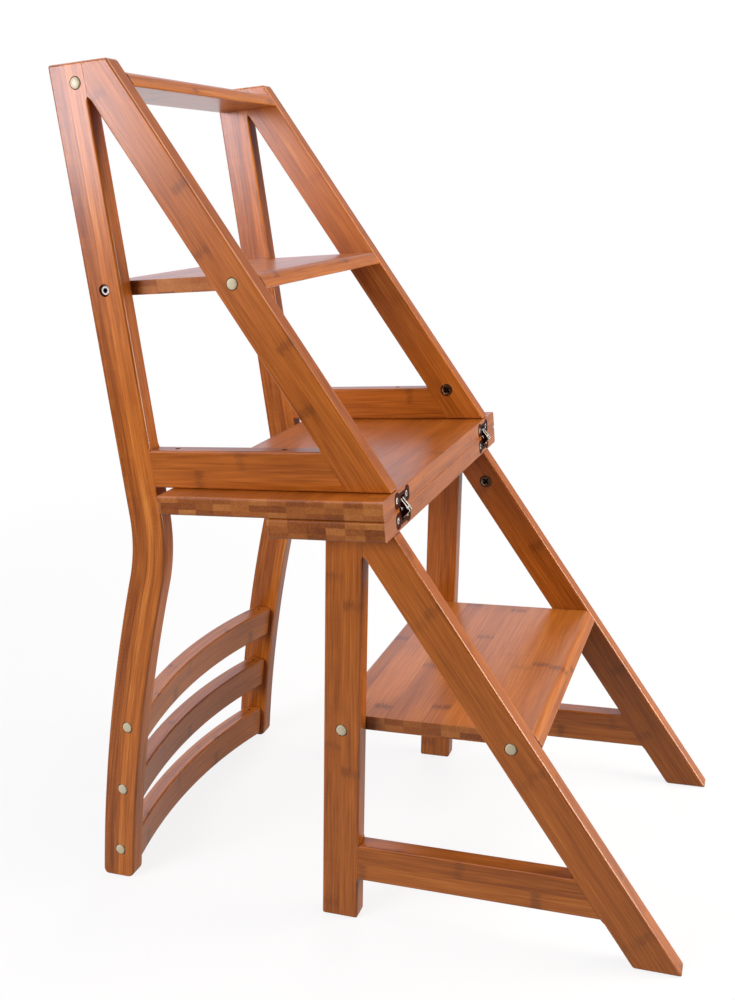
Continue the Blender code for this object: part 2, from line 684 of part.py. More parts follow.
def build_lower():
    """The half that stays: legs, diagonals, stretchers, seat board and low tread."""
    for label, side in SIDES.items():
        lower_leg(f"lower_leg_{label}", side)
        lower_diagonal(f"lower_diagonal_{label}", side)
        stretcher(f"stretcher_{label}", side)
        for name, _, x, z, shows in lower_fixings():
            fixing(f"{name}_{label}", x, z, shows, side)
        z = LOWER_SEAT_LOW - LOWER_NUT_DROP
        x = at(LOWER_DIAGONAL, z) - across(LOWER_DIAGONAL, NUT_FROM_FRONT)
        barrel_nut(f"nut_lower_{label}", x, z, side, None)
    seat = seat_board("seat_board_lower", LOWER_SEAT_DEPTH, False)
    tread("low_tread", LOW_TREAD_TOP, LEG_REAR, LOWER_DIAGONAL)
    return seat


def build_upper(pivot):
    """The half that folds: posts, diagonals, aprons, seat board, two treads and the back."""
    for label, side in SIDES.items():
        post(f"post_{label}", side, pivot)
        upper_diagonal(f"upper_diagonal_{label}", side, pivot)
        apron(f"apron_{label}", side, pivot)
        for name, _, x, z, shows in upper_fixings():
            fixing(f"{name}_{label}", x, z, shows, side, pivot)
        z = UPPER_SEAT_TOP + UPPER_NUT_RISE
        x = at(UPPER_DIAGONAL, z) - across(UPPER_DIAGONAL, NUT_FROM_FRONT)
        barrel_nut(f"nut_upper_{label}", x, z, side, pivot)
    for name, z, x, lean in slats():
        slat(name, z, x, lean, pivot)
    tread("mid_tread", MID_TREAD_TOP, POST_REAR, UPPER_DIAGONAL, pivot)
    tread("top_tread", TOP_TREAD_TOP, POST_REAR, UPPER_DIAGONAL, pivot)
    return seat_board("seat_board_upper", UPPER_SEAT_DEPTH, True, pivot)


def build_hinges(seats, fold):
    """Two concealed hinges: a leaf and two screws in each seat board, and the links between."""
    for label, side in SIDES.items():
        y = side * HINGE_Y
        for half, upper, pivot in (("lower", False, None), ("upper", True, fold)):
            hinge_leaf(f"hinge_leaf_{half}_{label}", y, upper, pivot)
            cut(seats[half], pilot_holes(y, 1 if upper else -1), pivot)
            for end in (-1, 1):
                hinge_screw(f"hinge_screw_{half}_{label}_{(end + 3) // 2}", y, end, upper, pivot)
        links = bpy.data.objects.new(f"link_axis_{label}", None)
        links.location = (SEAM_X, 0, SEAM_HEIGHT)
        bpy.context.scene.collection.objects.link(links)
        hinge_links(f"hinge_links_{label}", y, links)


def main():
    for obj in list(bpy.data.objects):
        bpy.data.objects.remove(obj)
    for name, (colour, roughness, metallic) in FINISH_SHARES.items():
        finish = bpy.data.materials.new(name)
        finish.use_nodes = True
        surface = finish.node_tree.nodes["Principled BSDF"]
        surface.inputs["Base Color"].default_value = colour
        surface.inputs["Roughness"].default_value = roughness
        surface.inputs["Metallic"].default_value = metallic
    fold = bpy.data.objects.new("fold_axis", None)
    fold.location = (SEAM_X, 0, SEAM_HEIGHT)
    bpy.context.scene.collection.objects.link(fold)
    seats = {"lower": build_lower(), "upper": build_upper(fold)}
    build_hinges(seats, fold)


main()
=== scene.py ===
# %% [markdown]
# # A library step chair in carbonised bamboo
# The object is a ladder of three treads and a seat. Its upper half folds over the seat's front
# edge and makes a dining chair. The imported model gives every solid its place, and this script
# puts the finished surfaces there: boards with eased edges and bamboo strips, bowed slats,
# plastic caps and steel hinges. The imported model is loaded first, because it is the frame that
# every later piece has to fit.

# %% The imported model
import math

import bpy
import numpy as np
from mathutils import Matrix, Vector


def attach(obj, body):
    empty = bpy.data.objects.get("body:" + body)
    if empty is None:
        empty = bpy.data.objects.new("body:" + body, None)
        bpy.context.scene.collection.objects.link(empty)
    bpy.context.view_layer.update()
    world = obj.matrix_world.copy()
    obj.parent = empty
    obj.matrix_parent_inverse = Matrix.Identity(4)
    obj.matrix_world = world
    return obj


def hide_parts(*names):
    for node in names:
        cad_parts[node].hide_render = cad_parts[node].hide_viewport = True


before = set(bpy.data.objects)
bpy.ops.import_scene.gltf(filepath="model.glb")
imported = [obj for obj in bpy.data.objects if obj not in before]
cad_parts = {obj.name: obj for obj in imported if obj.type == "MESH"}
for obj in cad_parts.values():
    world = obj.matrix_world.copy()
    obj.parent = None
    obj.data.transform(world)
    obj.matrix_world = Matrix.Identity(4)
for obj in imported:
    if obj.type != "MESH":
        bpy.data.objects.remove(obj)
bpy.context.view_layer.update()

# %% [markdown]
# ## Sizes
# A furniture maker works in millimetres, so every size below is in millimetres, and one factor
# turns a finished mesh to metres. x points to the climbing side, y runs from the near frame to
# the far one, and z is the height. Every corner could be typed in by hand. Instead a few
# driving sizes give the rest, starting from the seam, where the two seat boards meet.

# %% Driving sizes
MM = 0.001
SEAM_X, SEAM_Z, TOP_Z = 72.0, 450.0, 900.0
GAP = 0.3  # between the two halves, and round what is let into a board
FRONT_X = SEAM_X - GAP / 2  # the front edge of both seat boards
SEAT_THICK, TREAD_THICK, BOARD_WIDE = 20.0, 15.0, 40.0
INNER_Y, OUTER_Y = 162.0, 182.0  # the two faces of a side frame
BETWEEN = INNER_Y - GAP  # half the length of a tread or a slat
SIDES = {"near": -1, "far": 1}
UPPER_SEAT_TOP = SEAM_Z + GAP / 2 + SEAT_THICK
LOWER_SEAT_LOW = SEAM_Z - GAP / 2 - SEAT_THICK
RAIL_LOW, LEG_TOP = UPPER_SEAT_TOP + GAP, LOWER_SEAT_LOW - GAP
print("seat boards from", LOWER_SEAT_LOW, "to", UPPER_SEAT_TOP, "mm high")

# %% [markdown]
# ## Leaning boards
# Seen from the side, most of the frame's boards lean. An edge could be two end points, but then
# every joint would need its own sum. Here an edge is a pair: its x at floor height, and its
# lean in mm of x for each mm of height. Moved square to itself, it gives the board's other edge.

# %% Edges that lean
POST_BACK, POST_LEAN = 260.2, -0.065  # the post's front edge behind the seam, at the seam's height
DIAGONAL_AHEAD = 28.5  # the upper diagonal's front edge ahead of the post's, at the top
NEST_GAP = 3.0  # in the chair the two pairs of diagonals stand this far apart
LEG_BACK, LEG_LEAN = 76.0, 0.0983  # the middle leg's front edge behind the seam, at the floor


def at(edge, z):
    """x of a leaning edge at height z: its x at the floor plus its lean times z."""
    return edge[0] + edge[1] * z


def moved(edge, square):
    """The edge moved by a distance square to itself: along x that is distance times hypot(1, lean)."""
    return (edge[0] + square * math.hypot(1, edge[1]), edge[1])


POST_FRONT = (SEAM_X - POST_BACK - POST_LEAN * SEAM_Z, POST_LEAN)
POST_REAR = moved(POST_FRONT, -BOARD_WIDE)
LEAN = (at(POST_FRONT, TOP_Z) + DIAGONAL_AHEAD - FRONT_X) / (TOP_Z - UPPER_SEAT_TOP)
UPPER_DIAGONAL = (FRONT_X - LEAN * UPPER_SEAT_TOP, LEAN)
UPPER_DIAGONAL_REAR = moved(UPPER_DIAGONAL, -BOARD_WIDE)
LOWER_DIAGONAL = (FRONT_X - NEST_GAP - LEAN * LOWER_SEAT_LOW, LEAN)
LOWER_DIAGONAL_REAR = moved(LOWER_DIAGONAL, -BOARD_WIDE)
LEG_FRONT = (SEAM_X - LEG_BACK, LEG_LEAN)
LEG_REAR = moved(LEG_FRONT, -BOARD_WIDE)
print("diagonals lean", round(LEAN, 4), "mm per mm")

# %% [markdown]
# ## The bent post
# Each post is one board from foot to top, bent below the seam into a swept-back rear leg. Its
# centre line could be a spline through points, but a workshop bends such a leg round a form, so
# its curvature is even. Here the lean grows evenly through the bend and eases evenly to the
# foot, and the centre line is the sum of that lean: two parabolas and a straight.

# %% The post's centre line
BEND_TOP, BEND_LOW = 440.0, 362.0  # the heights between which the post bends
BEND_LEAN, FOOT_LEAN = 0.33, 0.14  # its lean just below the bend, and at the floor


def post_middle(z):
    """Centre line x and its lean at heights z. With d the depth below the bend's top, p the
    depth below the bend's foot: lean = straight lean + gain d - ease p, and x is its integral."""
    z = np.asarray(z, float)
    gain = (BEND_LEAN - POST_LEAN) / (BEND_TOP - BEND_LOW)
    ease = (BEND_LEAN - FOOT_LEAN) / BEND_LOW
    above = np.maximum(z - BEND_TOP, 0)
    down = np.clip(BEND_TOP - z, 0, BEND_TOP - BEND_LOW)
    past = np.maximum(BEND_LOW - z, 0)
    start = at(POST_FRONT, BEND_TOP) - BOARD_WIDE / 2 * math.hypot(1, POST_LEAN)
    x = start + POST_LEAN * (above - down) - gain * down**2 / 2 - BEND_LEAN * past + ease * past**2 / 2
    return x, POST_LEAN + gain * down - ease * past


def post_edge(z, side):
    """The front (side 1) or rear (side -1) face of the post: half a board square to the line."""
    x, lean = post_middle(z)
    return x + side * BOARD_WIDE / 2 * np.hypot(1, lean)


print("foot stands", round(float(SEAM_X - post_middle(0)[0])), "mm behind the seam's front edge")

# %% [markdown]
# ## One loft for every board
# A board with eased edges could be a cube with a Bevel modifier. A bent, tapered or bowed one
# can't, so all boards are lofts: at each station along the board stands a rounded rectangle,
# and towards the ends the rectangles shrink along a quarter circle, which eases the ends too.
# The stations come first, and they stand close together where an end curves.

# %% Stations and easing
EASE_STEPS = 6


def stations(low, high, ease_low, ease_high, between):
    """Station positions: a quarter circle's worth at each end, and an even row between."""
    turn = np.linspace(0, np.pi / 2, EASE_STEPS)
    first = low + ease_low * (1 - np.cos(turn))
    last = high - ease_high * (1 - np.cos(turn[::-1]))
    middle = np.linspace(low + ease_low, high - ease_high, between + 2)[1:-1]
    return np.unique(np.concatenate([first, middle, last]).round(4))


def easing(s, low, high, ease_low, ease_high):
    """How far a quarter circle has pulled the faces in at s: r - sqrt(r^2 - (r - distance)^2)."""
    inset = np.zeros_like(s)
    for radius, distance in ((ease_low, s - low), (ease_high, high - s)):
        if radius:
            inside = np.clip(radius - distance, 0, radius)
            inset += radius - np.sqrt(radius**2 - inside**2)
    return inset


print("a 2 mm easing has stations at", stations(0, 10, 2, 0, 0))

# %% [markdown]
# ## From rings to a mesh
# Each station's rounded rectangle is a ring of points, and all rings together are one numpy
# array, so a whole board takes a few sums. Quads join neighbouring rings, and one flat face
# closes each end. A shape that came out inside out has a negative volume, and is turned.

# %% Rings, skin and mesh


def loft(s, low1, high1, low2, high2, radii, steps=4):
    """Rings (station, point, 3) of (first, second, s). A ring runs through four corners; a
    corner's points are its centre plus radius times (cos, sin) of a quarter turn."""
    s, low1, high1, low2, high2 = np.broadcast_arrays(s, low1, high1, low2, high2)
    rings = []
    for corner in range(4):
        radius = np.broadcast_to(radii[corner], s.shape)
        right, up = corner in (0, 3), corner in (0, 1)
        c1 = high1 - radius if right else low1 + radius
        c2 = high2 - radius if up else low2 + radius
        turn = np.pi / 2 * (corner + np.linspace(0, 1, steps + 1))
        first = c1[:, None] + radius[:, None] * np.cos(turn)
        second = c2[:, None] + radius[:, None] * np.sin(turn)
        rings.append(np.stack([first, second, np.repeat(s[:, None], steps + 1, 1)], -1))
    return np.concatenate(rings, 1)


def skin(rings):
    """Quads between neighbouring rings and one flat face at each end, as a list of faces."""
    count, around = rings.shape[:2]
    i, j = np.meshgrid(np.arange(count - 1), np.arange(around), indexing="ij")
    a, b = i * around + j, i * around + (j + 1) % around
    quads = np.stack([a, b, b + around, a + around], -1).reshape(-1, 4).tolist()
    ends = [list(range(around))[::-1], list(range((count - 1) * around, count * around))]
    return quads + ends


def solid(rings):
    """The shape of closed rings: its points and its faces."""
    return rings.reshape(-1, 3), skin(rings)


def volume(points, faces):
    """Signed volume: the sum over fan triangles of corner triple products, over six."""
    total = 0.0
    for face in faces:
        p = points[face]
        fan = np.cross(p[1:-1] - p[0], p[2:] - p[0])
        total += (fan @ p[0]).sum()
    return total / 6


def mesh_of(name, points, faces):
    """A mesh in metres from points in millimetres, its faces turned out."""
    if volume(points, faces) < 0:
        faces = [face[::-1] for face in faces]
    mesh = bpy.data.meshes.new(name)
    mesh.from_pydata((points * MM).tolist(), [], faces)
    mesh.update()
    return mesh


print("a unit cube's volume is", round(volume(*solid(loft(np.array([0, 1]), 0, 1, 0, 1, [0.0] * 4))), 3))

# %% [markdown]
# ## Colour and nodes
# A paint chart gives a colour as sRGB hex, and the shader wants linear light, so one function
# turns the first into the second. Nodes could be added and linked one statement at a time. One
# small function does both and hands back an output, so a material reads as a row of sums.

# %% Colour and node helpers
SMOOTH = {"interpolation_type": "SMOOTHSTEP"}
COLOURS = {"data_type": "RGBA"}


def linear(code):
    """sRGB hex to linear: ((c + 0.055) / 1.055) ^ 2.4 above the toe, c / 12.92 below it."""
    srgb = np.array([int(code[i : i + 2], 16) for i in (1, 3, 5)]) / 255
    rgb = np.where(srgb > 0.04045, ((srgb + 0.055) / 1.055) ** 2.4, srgb / 12.92)
    return (*rgb.tolist(), 1.0)


def feed(node, **inputs):
    """Gives a node its inputs, by socket name with _ for a space, or by number as i6. A value
    is set, and a socket is linked."""
    for key, value in inputs.items():
        socket = node.inputs[int(key[1:]) if key[1:].isdigit() else key.replace("_", " ")]
        if isinstance(value, bpy.types.NodeSocket):
            node.id_data.links.new(value, socket)
        else:
            socket.default_value = value


def add(tree, kind, how=None, *values, out=0, **named):
    """Adds a shader node and gives one of its outputs, by number or name. how is its operation
    or a dictionary of settings, values go to its inputs in order, and the rest by name."""
    made = tree.nodes.new("ShaderNode" + kind)
    for key, value in ({"operation": how} if isinstance(how, str) else how or {}).items():
        setattr(made, key, value)
    feed(made, **{f"i{number}": value for number, value in enumerate(values)}, **named)
    return made.outputs[out]


def material(name):
    """A new material, its node tree and its Principled shader."""
    made = bpy.data.materials.new(name)
    made.use_nodes = True
    return made, made.node_tree, made.node_tree.nodes["Principled BSDF"]


print("mid brown in linear light:", [round(v, 3) for v in linear("#b46a2e")])

# %% [markdown]
# ## Fibres
# Dark fibres run along every strip of bamboo. A wood image would show them, but a procedural
# pattern follows each board: three coordinates, along, across and through, are kept on the mesh
# as an attribute, so the fibres bend with the post. They are noise stretched along the strip.
# Real fibres are finer than a millimetre and would be lost in the render, so the fine ones are
# drawn 2 mm wide. The tufts are short, and only make the culm nodes ragged.

# %% Fibres along the grain
# Length and width in mm, and detail, of the fine fibres, the broad ones and the tufts
FIBRES = ((60, 2.0, 3.0), (150, 8.0, 3.0), (14, 1.8, 2.0))


def fibre_noise(tree, grain, board):
    """Noise on the grain's place over (length, width, width), moved along by the board's own
    number, so that no two boards are alike."""
    offset = add(tree, "CombineXYZ", None, board, 0.0, 0.0)
    seeded = add(tree, "VectorMath", "ADD", grain, offset)
    found = []
    for long_mm, wide_mm, detail in FIBRES:
        scale = (1 / (long_mm * MM), 1 / (wide_mm * MM), 1 / (wide_mm * MM))
        point = add(tree, "VectorMath", "MULTIPLY", seeded, scale)
        found.append(add(tree, "TexNoise", Vector=point, Scale=1.0, Detail=detail))
    return found


print("fine fibres", FIBRES[0][0], "mm long and", FIBRES[0][1], "mm wide")

# %% [markdown]
# ## Culm nodes
# A bamboo culm has a node every hand's length or so, and a strip shows it as a short ragged
# dark bar with a faint halo. Dots scattered at random would look wrong, because the nodes of
# one strip are evenly spaced. So the distance along the strip to the nearest node is measured,
# each strip starts at its own place, and some strips show their nodes much more than others.

# %% Nodes across the strips
CULM_NODE = 185.0  # mm from one node of a culm to the next
STRIP_SHIFT = 7.0  # strips start up to this many nodes apart
# As shares of CULM_NODE: how far the tufts push a bar's edge, the bar's half width with and
# without its soft edge, and the halo's half width
RAGGED, BAR_HALF, BAR_CORE, HALO_HALF = 0.12, 0.04, 0.01, 0.14
HALO_DARK, FAINTEST, FULL_FROM = 0.2, 0.2, 0.7  # the faintest strip shows a fifth, and three in ten show all


def from_middle(tree, place):
    """Distance from the middle of a unit cell: the part of place after the point, less 0.5."""
    fraction = add(tree, "Math", "FRACT", place)
    return add(tree, "Math", "ABSOLUTE", add(tree, "Math", "SUBTRACT", fraction, 0.5))


def culm_nodes(tree, along, shift, vigour, tuft, depth):
    """How much a node darkens this spot: the larger of bar and halo, times the strip's strength."""
    cells = add(tree, "Math", "DIVIDE", along, CULM_NODE * MM)
    start = add(tree, "Math", "MULTIPLY", shift, STRIP_SHIFT)
    off = from_middle(tree, add(tree, "Math", "ADD", cells, start))
    ragged = add(tree, "Math", "MULTIPLY_ADD", add(tree, "Math", "SUBTRACT", tuft, 0.5), RAGGED, off)
    bar = add(tree, "MapRange", SMOOTH, ragged, BAR_HALF, BAR_CORE)
    halo = add(tree, "MapRange", SMOOTH, off, HALO_HALF, 0.0, 0.0, HALO_DARK)
    strength = add(tree, "MapRange", SMOOTH, vigour, 0.0, FULL_FROM, FAINTEST * depth, depth)
    return add(tree, "Math", "MULTIPLY", add(tree, "Math", "MAXIMUM", bar, halo), strength)


print("culm nodes every", CULM_NODE, "mm")

# %% [markdown]
# ## Bamboo strip board
# The boards are glued up from strips about 20 mm wide, in layers 6.7 mm thick. The culms were
# steamed (carbonised), which turns them from straw to caramel brown. One colour with noise would
# look like plain wood. What says bamboo is that neighbouring strips differ in tone, so every
# strip of every board draws its own tone, with a thin dark glue line between them. Satin
# lacquer lies over it as a thin coat.

# %% The bamboo material
GLUE_HALF, GLUE_DARK = 0.25, 0.2  # mm to each side of the joint, and how dark it is
DEEP_BROWN = "#52260c"  # the nodes and glue lines go towards this
LAYER_SEED = 7.13  # how far apart two layers of one board are in the noise
BROAD_SHARE, FINE_SHARE = 0.65, 1.3  # of the fibres' strength
GLOSS_DRIFT, FIBRE_RELIEF = 0.06, 0.06  # of roughness, and mm
LACQUER = {"IOR": 1.5, "Coat_Weight": 0.4, "Coat_Roughness": 0.2}  # a thin coat that blurs what it mirrors


def bamboo(name, strip, ply, tones, contrast, fibres, node_depth, roughness=0.32):
    """Carbonised bamboo under satin lacquer. strip and ply are a strip's width and thickness in
    mm; contrast spreads the strips' tones, fibres the streaks', and node_depth is how dark a
    culm node is."""
    made, tree, shader = material(name)
    grain = add(tree, "Attribute", {"attribute_name": "grain"}, out="Vector")
    board = add(tree, "Attribute", {"attribute_name": "board"}, out="Fac")
    along, across, through = add(tree, "SeparateXYZ", None, grain).node.outputs

    # Each strip draws a tone, a shift for its nodes and how strongly it shows them
    strip_place = add(tree, "Math", "DIVIDE", across, strip * MM)
    layer = add(tree, "Math", "FLOOR", add(tree, "Math", "DIVIDE", through, ply * MM))
    layer_seed = add(tree, "Math", "MULTIPLY_ADD", layer, LAYER_SEED, board)
    cell = add(tree, "CombineXYZ", None, add(tree, "Math", "FLOOR", strip_place), layer_seed, board)
    rolled = add(tree, "TexWhiteNoise", {"noise_dimensions": "3D"}, Vector=cell).node.outputs
    shift, vigour, _ = add(tree, "SeparateColor", None, rolled["Color"]).node.outputs
    fine, broad, tuft = fibre_noise(tree, grain, board)

    # The strip's own tone, with broad and fine fibres added, picks a colour from the ramp
    mixed = 0.5
    shares = (contrast, BROAD_SHARE * fibres, FINE_SHARE * fibres)
    for source, share in zip((rolled["Value"], broad, fine), shares):
        centred = add(tree, "Math", "SUBTRACT", source, 0.5)
        mixed = add(tree, "Math", "MULTIPLY_ADD", centred, share, mixed)
    ramp = add(tree, "ValToRGB", Fac=mixed)
    stops = ramp.node.color_ramp.elements
    stops[0].color, stops[1].color = linear(tones[0]), linear(tones[-1])
    for number, code in enumerate(tones[1:-1], 1):
        stops.new(number / (len(tones) - 1)).color = linear(code)

    # Culm nodes and glue lines darken it
    knot = culm_nodes(tree, along, shift, vigour, tuft, node_depth)
    edge = from_middle(tree, strip_place)
    glue = add(tree, "MapRange", None, edge, 0.5 - GLUE_HALF / strip, 0.5, 0.0, GLUE_DARK)
    dark = add(tree, "Math", "MAXIMUM", knot, glue)
    colour = add(tree, "Mix", COLOURS, dark, i6=ramp, i7=linear(DEEP_BROWN), out=2)

    # The lacquer's gloss and relief follow the fibres slightly
    gloss = add(tree, "Math", "MULTIPLY_ADD", fine, GLOSS_DRIFT, roughness - GLOSS_DRIFT / 2)
    bump = add(tree, "Bump", Strength=0.35, Distance=FIBRE_RELIEF * MM, Height=fine)
    feed(shader, Base_Color=colour, Roughness=gloss, Normal=bump, **LACQUER)
    return made


print("bamboo recipe ready, with a dark of", DEEP_BROWN)

# %% [markdown]
# ## The bamboo finishes
# One recipe gives four finishes, because the boards differ only in how they were glued up. On
# the treads and slats broad strips run along the board. The frames and the seat take a deeper
# brown. The posts are bent from thin laminations, so their strips are narrow, and the ends
# show strips that were cut across.

# %% Bamboo for treads, rails, posts and ends
STRIP, PLY, LAMINATION = 20.0, 6.7, 6.6  # mm
TREAD_TONES = ("#6a2e06", "#965012", "#bd6f2a", "#d29048")
RAIL_TONES = ("#662905", "#934c0f", "#bb6922", "#d18b3e")
END_TONES = ("#642e0e", "#874818", "#a15e28", "#b87a3c")
# Calm broad bands in caramel, with clear dark dashes where the culm nodes are
LONG_GRAIN = bamboo("carbonised_bamboo_strip_board_satin_lacquer", STRIP, PLY, TREAD_TONES,
                    contrast=0.26, fibres=0.5, node_depth=0.58)
# Streakier and a little deeper, with softer nodes
PLAIN_GRAIN = bamboo("carbonised_bamboo_rail_board_satin_lacquer", STRIP, PLY, RAIL_TONES,
                     contrast=0.24, fibres=0.62, node_depth=0.45)
# Narrow stripes in strong contrast that sweep round the bend, almost without nodes
BENT_GRAIN = bamboo("carbonised_bamboo_bent_laminate_satin_lacquer", LAMINATION, STRIP, RAIL_TONES,
                    contrast=0.56, fibres=0.75, node_depth=0.1)
# Darker and duller blocks, light and dark like small bricks, since cut fibres drink the lacquer
END_GRAIN = bamboo("carbonised_bamboo_cut_ends_lacquered", STRIP, PLY, END_TONES,
                   contrast=0.7, fibres=0.5, node_depth=0.0, roughness=0.42)
print("bamboo finishes:", LONG_GRAIN.name, PLAIN_GRAIN.name, BENT_GRAIN.name, END_GRAIN.name)

# %% [markdown]
# ## Turned shapes
# Caps, bolts, screws and every drill are round. Blender's Screw modifier could turn a profile
# round an axis. Here the sum is written out, because the same few lines give the cutters too,
# and each shape can then be put in its place by one matrix.

# %% Turned and placed shapes


def turned(profile, steps):
    """A closed surface of revolution about z: each (radius, height) of the profile goes round
    a circle as (radius cos t, radius sin t, height). The profile starts and ends on the axis."""
    turn = np.linspace(0, 2 * np.pi, steps, endpoint=False)
    radius, height = np.array(profile[1:-1], float).T
    rings = np.stack([radius[:, None] * np.cos(turn), radius[:, None] * np.sin(turn),
                      np.repeat(height[:, None], steps, 1)], -1)
    points = np.concatenate([rings.reshape(-1, 3), [[0, 0, profile[0][1]], [0, 0, profile[-1][1]]]])
    faces = skin(rings)[:-2]
    last, first_pole = (len(radius) - 1) * steps, len(points) - 2
    around = np.arange(steps)
    step_on = (around + 1) % steps
    faces += np.stack([step_on, around, np.full(steps, first_pole)], -1).tolist()
    faces += np.stack([last + around, last + step_on, np.full(steps, first_pole + 1)], -1).tolist()
    return points, faces


def rod(radius, low, high, steps):
    """A plain round bar on the z axis between two heights."""
    return turned([(0, low), (radius, low), (radius, high), (0, high)], steps)


def placed(points, matrix):
    """Points turned and moved by a 4 by 4 matrix whose lengths are millimetres."""
    m = np.array(matrix)
    return points @ m[:3, :3].T + m[:3, 3]


def put(shape, matrix):
    """A shape of points and faces, turned and moved."""
    return placed(shape[0], matrix), shape[1]


def facing(x, y, z, side):
    """A frame whose +z looks out along side times y."""
    return Matrix.Translation((x, y, z)) @ Matrix.Rotation(-side * math.pi / 2, 4, "X")


print("a rod of 6 steps has", len(rod(1, 0, 1, 6)[1]), "faces")

# %% [markdown]
# ## Finishing a piece
# Holes are cut with an exact Boolean, the way a drill cuts them, and the result is kept as a
# plain mesh. A live Boolean would look the same, but its cutters would have to stay in the
# scene. Sharp edges are marked by angle, and weighted normals keep the flat faces flat where
# they run into a rounded edge.

# %% Drill and finish
SHARP = math.radians(40)


def drilled(mesh, cutters):
    """The mesh with each cutter taken out, as a plain mesh."""
    whole = bpy.data.objects.new("drilled", mesh)
    bpy.context.scene.collection.objects.link(whole)
    helpers = []
    for points, faces in cutters:
        helper = bpy.data.objects.new("drill", mesh_of("drill", points, faces))
        bpy.context.scene.collection.objects.link(helper)
        hole = whole.modifiers.new("hole", "BOOLEAN")
        hole.object, hole.solver = helper, "EXACT"
        helpers.append(helper)
    bpy.context.view_layer.update()
    result = bpy.data.meshes.new_from_object(whole.evaluated_get(bpy.context.evaluated_depsgraph_get()))
    for helper in helpers + [whole]:
        bpy.data.objects.remove(helper)
    return result


def rows_of(items, name):
    """A place or direction of every vertex or face, as an array with a row for each."""
    values = np.empty(len(items) * 3)
    items.foreach_get(name, values)
    return values.reshape(-1, 3)


def piece(name, mesh, body, node, finishes, second=None):
    """Links a finished mesh as the piece that stands for a CAD node. second marks the faces
    that take the second finish."""
    mesh.name = name
    mesh.materials.clear()
    for finish in finishes:
        mesh.materials.append(finish)
    made = bpy.data.objects.new(name, mesh)
    bpy.context.scene.collection.objects.link(made)
    mesh.shade_smooth()
    mesh.set_sharp_from_angle(angle=SHARP)
    smooth = made.modifiers.new("flat_faces_stay_flat", "WEIGHTED_NORMAL")
    smooth.keep_sharp = True
    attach(made, body)
    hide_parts(node)
    if second is not None:
        mesh.polygons.foreach_set("material_index", second.astype(np.int32))


print("edges sharper than", round(math.degrees(SHARP)), "degrees stay crisp")

# %% [markdown]
# ## Finishing a board
# Each point of a board gets its grain coordinates, and each board a number of its own that
# seeds its strips. A UV map could carry the pattern, but only two of the three coordinates, and
# the layers of strips inside the board would be lost at its ends. Faces that look along the
# grain get the cut-end finish.

# %% Grain on a board
ALONG_Y, ALONG_Z = (0, 1, 0), (0, 0, 1)
END_COSINE = 0.6  # a face within 53 degrees of the grain shows cut ends
BOARD_SEED = 1.37  # how far apart two boards are in the noise
boards = []


def bamboo_piece(name, rings, body, node, grain, finish=LONG_GRAIN, cutters=(), ends=(0, 0, 0)):
    """A board: its rings, holes, grain attribute and finishes. ends is the grain's direction
    where faces that look along it show cut ends, or zeros for none."""
    boards.append(name)
    mesh = mesh_of(name, *solid(rings))
    if cutters:
        mesh = drilled(mesh, cutters)
    values = grain(rows_of(mesh.vertices, "co") / MM) * MM
    mesh.attributes.new("grain", "FLOAT_VECTOR", "POINT").data.foreach_set("vector", values.ravel())
    seeds = np.full(len(mesh.vertices), len(boards) * BOARD_SEED)
    mesh.attributes.new("board", "FLOAT", "POINT").data.foreach_set("value", seeds)
    is_end = np.abs(rows_of(mesh.polygons, "normal") @ np.array(ends)) > END_COSINE
    piece(name, mesh, body, node, [finish, END_GRAIN], is_end)


def leaning(edge, side):
    """Grain along a leaning board: along = (lean x + z) / n, across = (x - lean z - x0) / n,
    with n = hypot(1, lean), and through from the board's outer face."""
    n = math.hypot(1, edge[1])

    def grain(p):
        along = (edge[1] * p[:, 0] + p[:, 2]) / n
        across = (p[:, 0] - at(edge, p[:, 2])) / n
        return np.stack([along, across, OUTER_Y - side * p[:, 1]], -1)

    return grain


def level(x0, z0, side=0):
    """Grain along x for a rail (side given), or along y for a tread or a seat board."""
    if side:
        return lambda p: np.stack([p[:, 0], p[:, 2] - z0, OUTER_Y - side * p[:, 1]], -1)
    return lambda p: np.stack([p[:, 1], p[:, 0] - x0, p[:, 2] - z0], -1)


print("cut ends show within", round(math.degrees(math.acos(END_COSINE))), "degrees of the grain")

# %% [markdown]
# ## Edges that butt
# A router rounds every long edge in the open and lifts off where a board meets its neighbour,
# because a rounded edge there would leave a groove. One Bevel width for the whole board
# couldn't do that, so the corner radius is a function of height, with a short run-out.

# %% Upright boards with run-outs
EDGE = 2.6  # the router's rounding
HAIR = 0.12  # the radius of an edge that butts a neighbour
RUN_OUT = 4.0  # the length over which one turns into the other


def edge_radius(z, butts):
    """The long edge's radius by height: EDGE in the open, and HAIR where it butts a neighbour,
    with a straight run-out between. butts are (low, high) heights."""
    away = np.full(z.shape, RUN_OUT)
    for low, high in butts:
        away = np.minimum(away, np.maximum(np.maximum(low - z, z - high), 0))
    return HAIR + (EDGE - HAIR) * away / RUN_OUT


def with_butts(z, butts):
    """Heights with more stations wherever an edge runs out into a joint."""
    run = RUN_OUT * np.array([0, 0.5, 1])
    more = np.concatenate([part for low, high in butts for part in (low - run, high + run)])
    inside = more[(more > z[0]) & (more < z[-1])]
    return np.unique(np.concatenate([z, inside]).round(3))


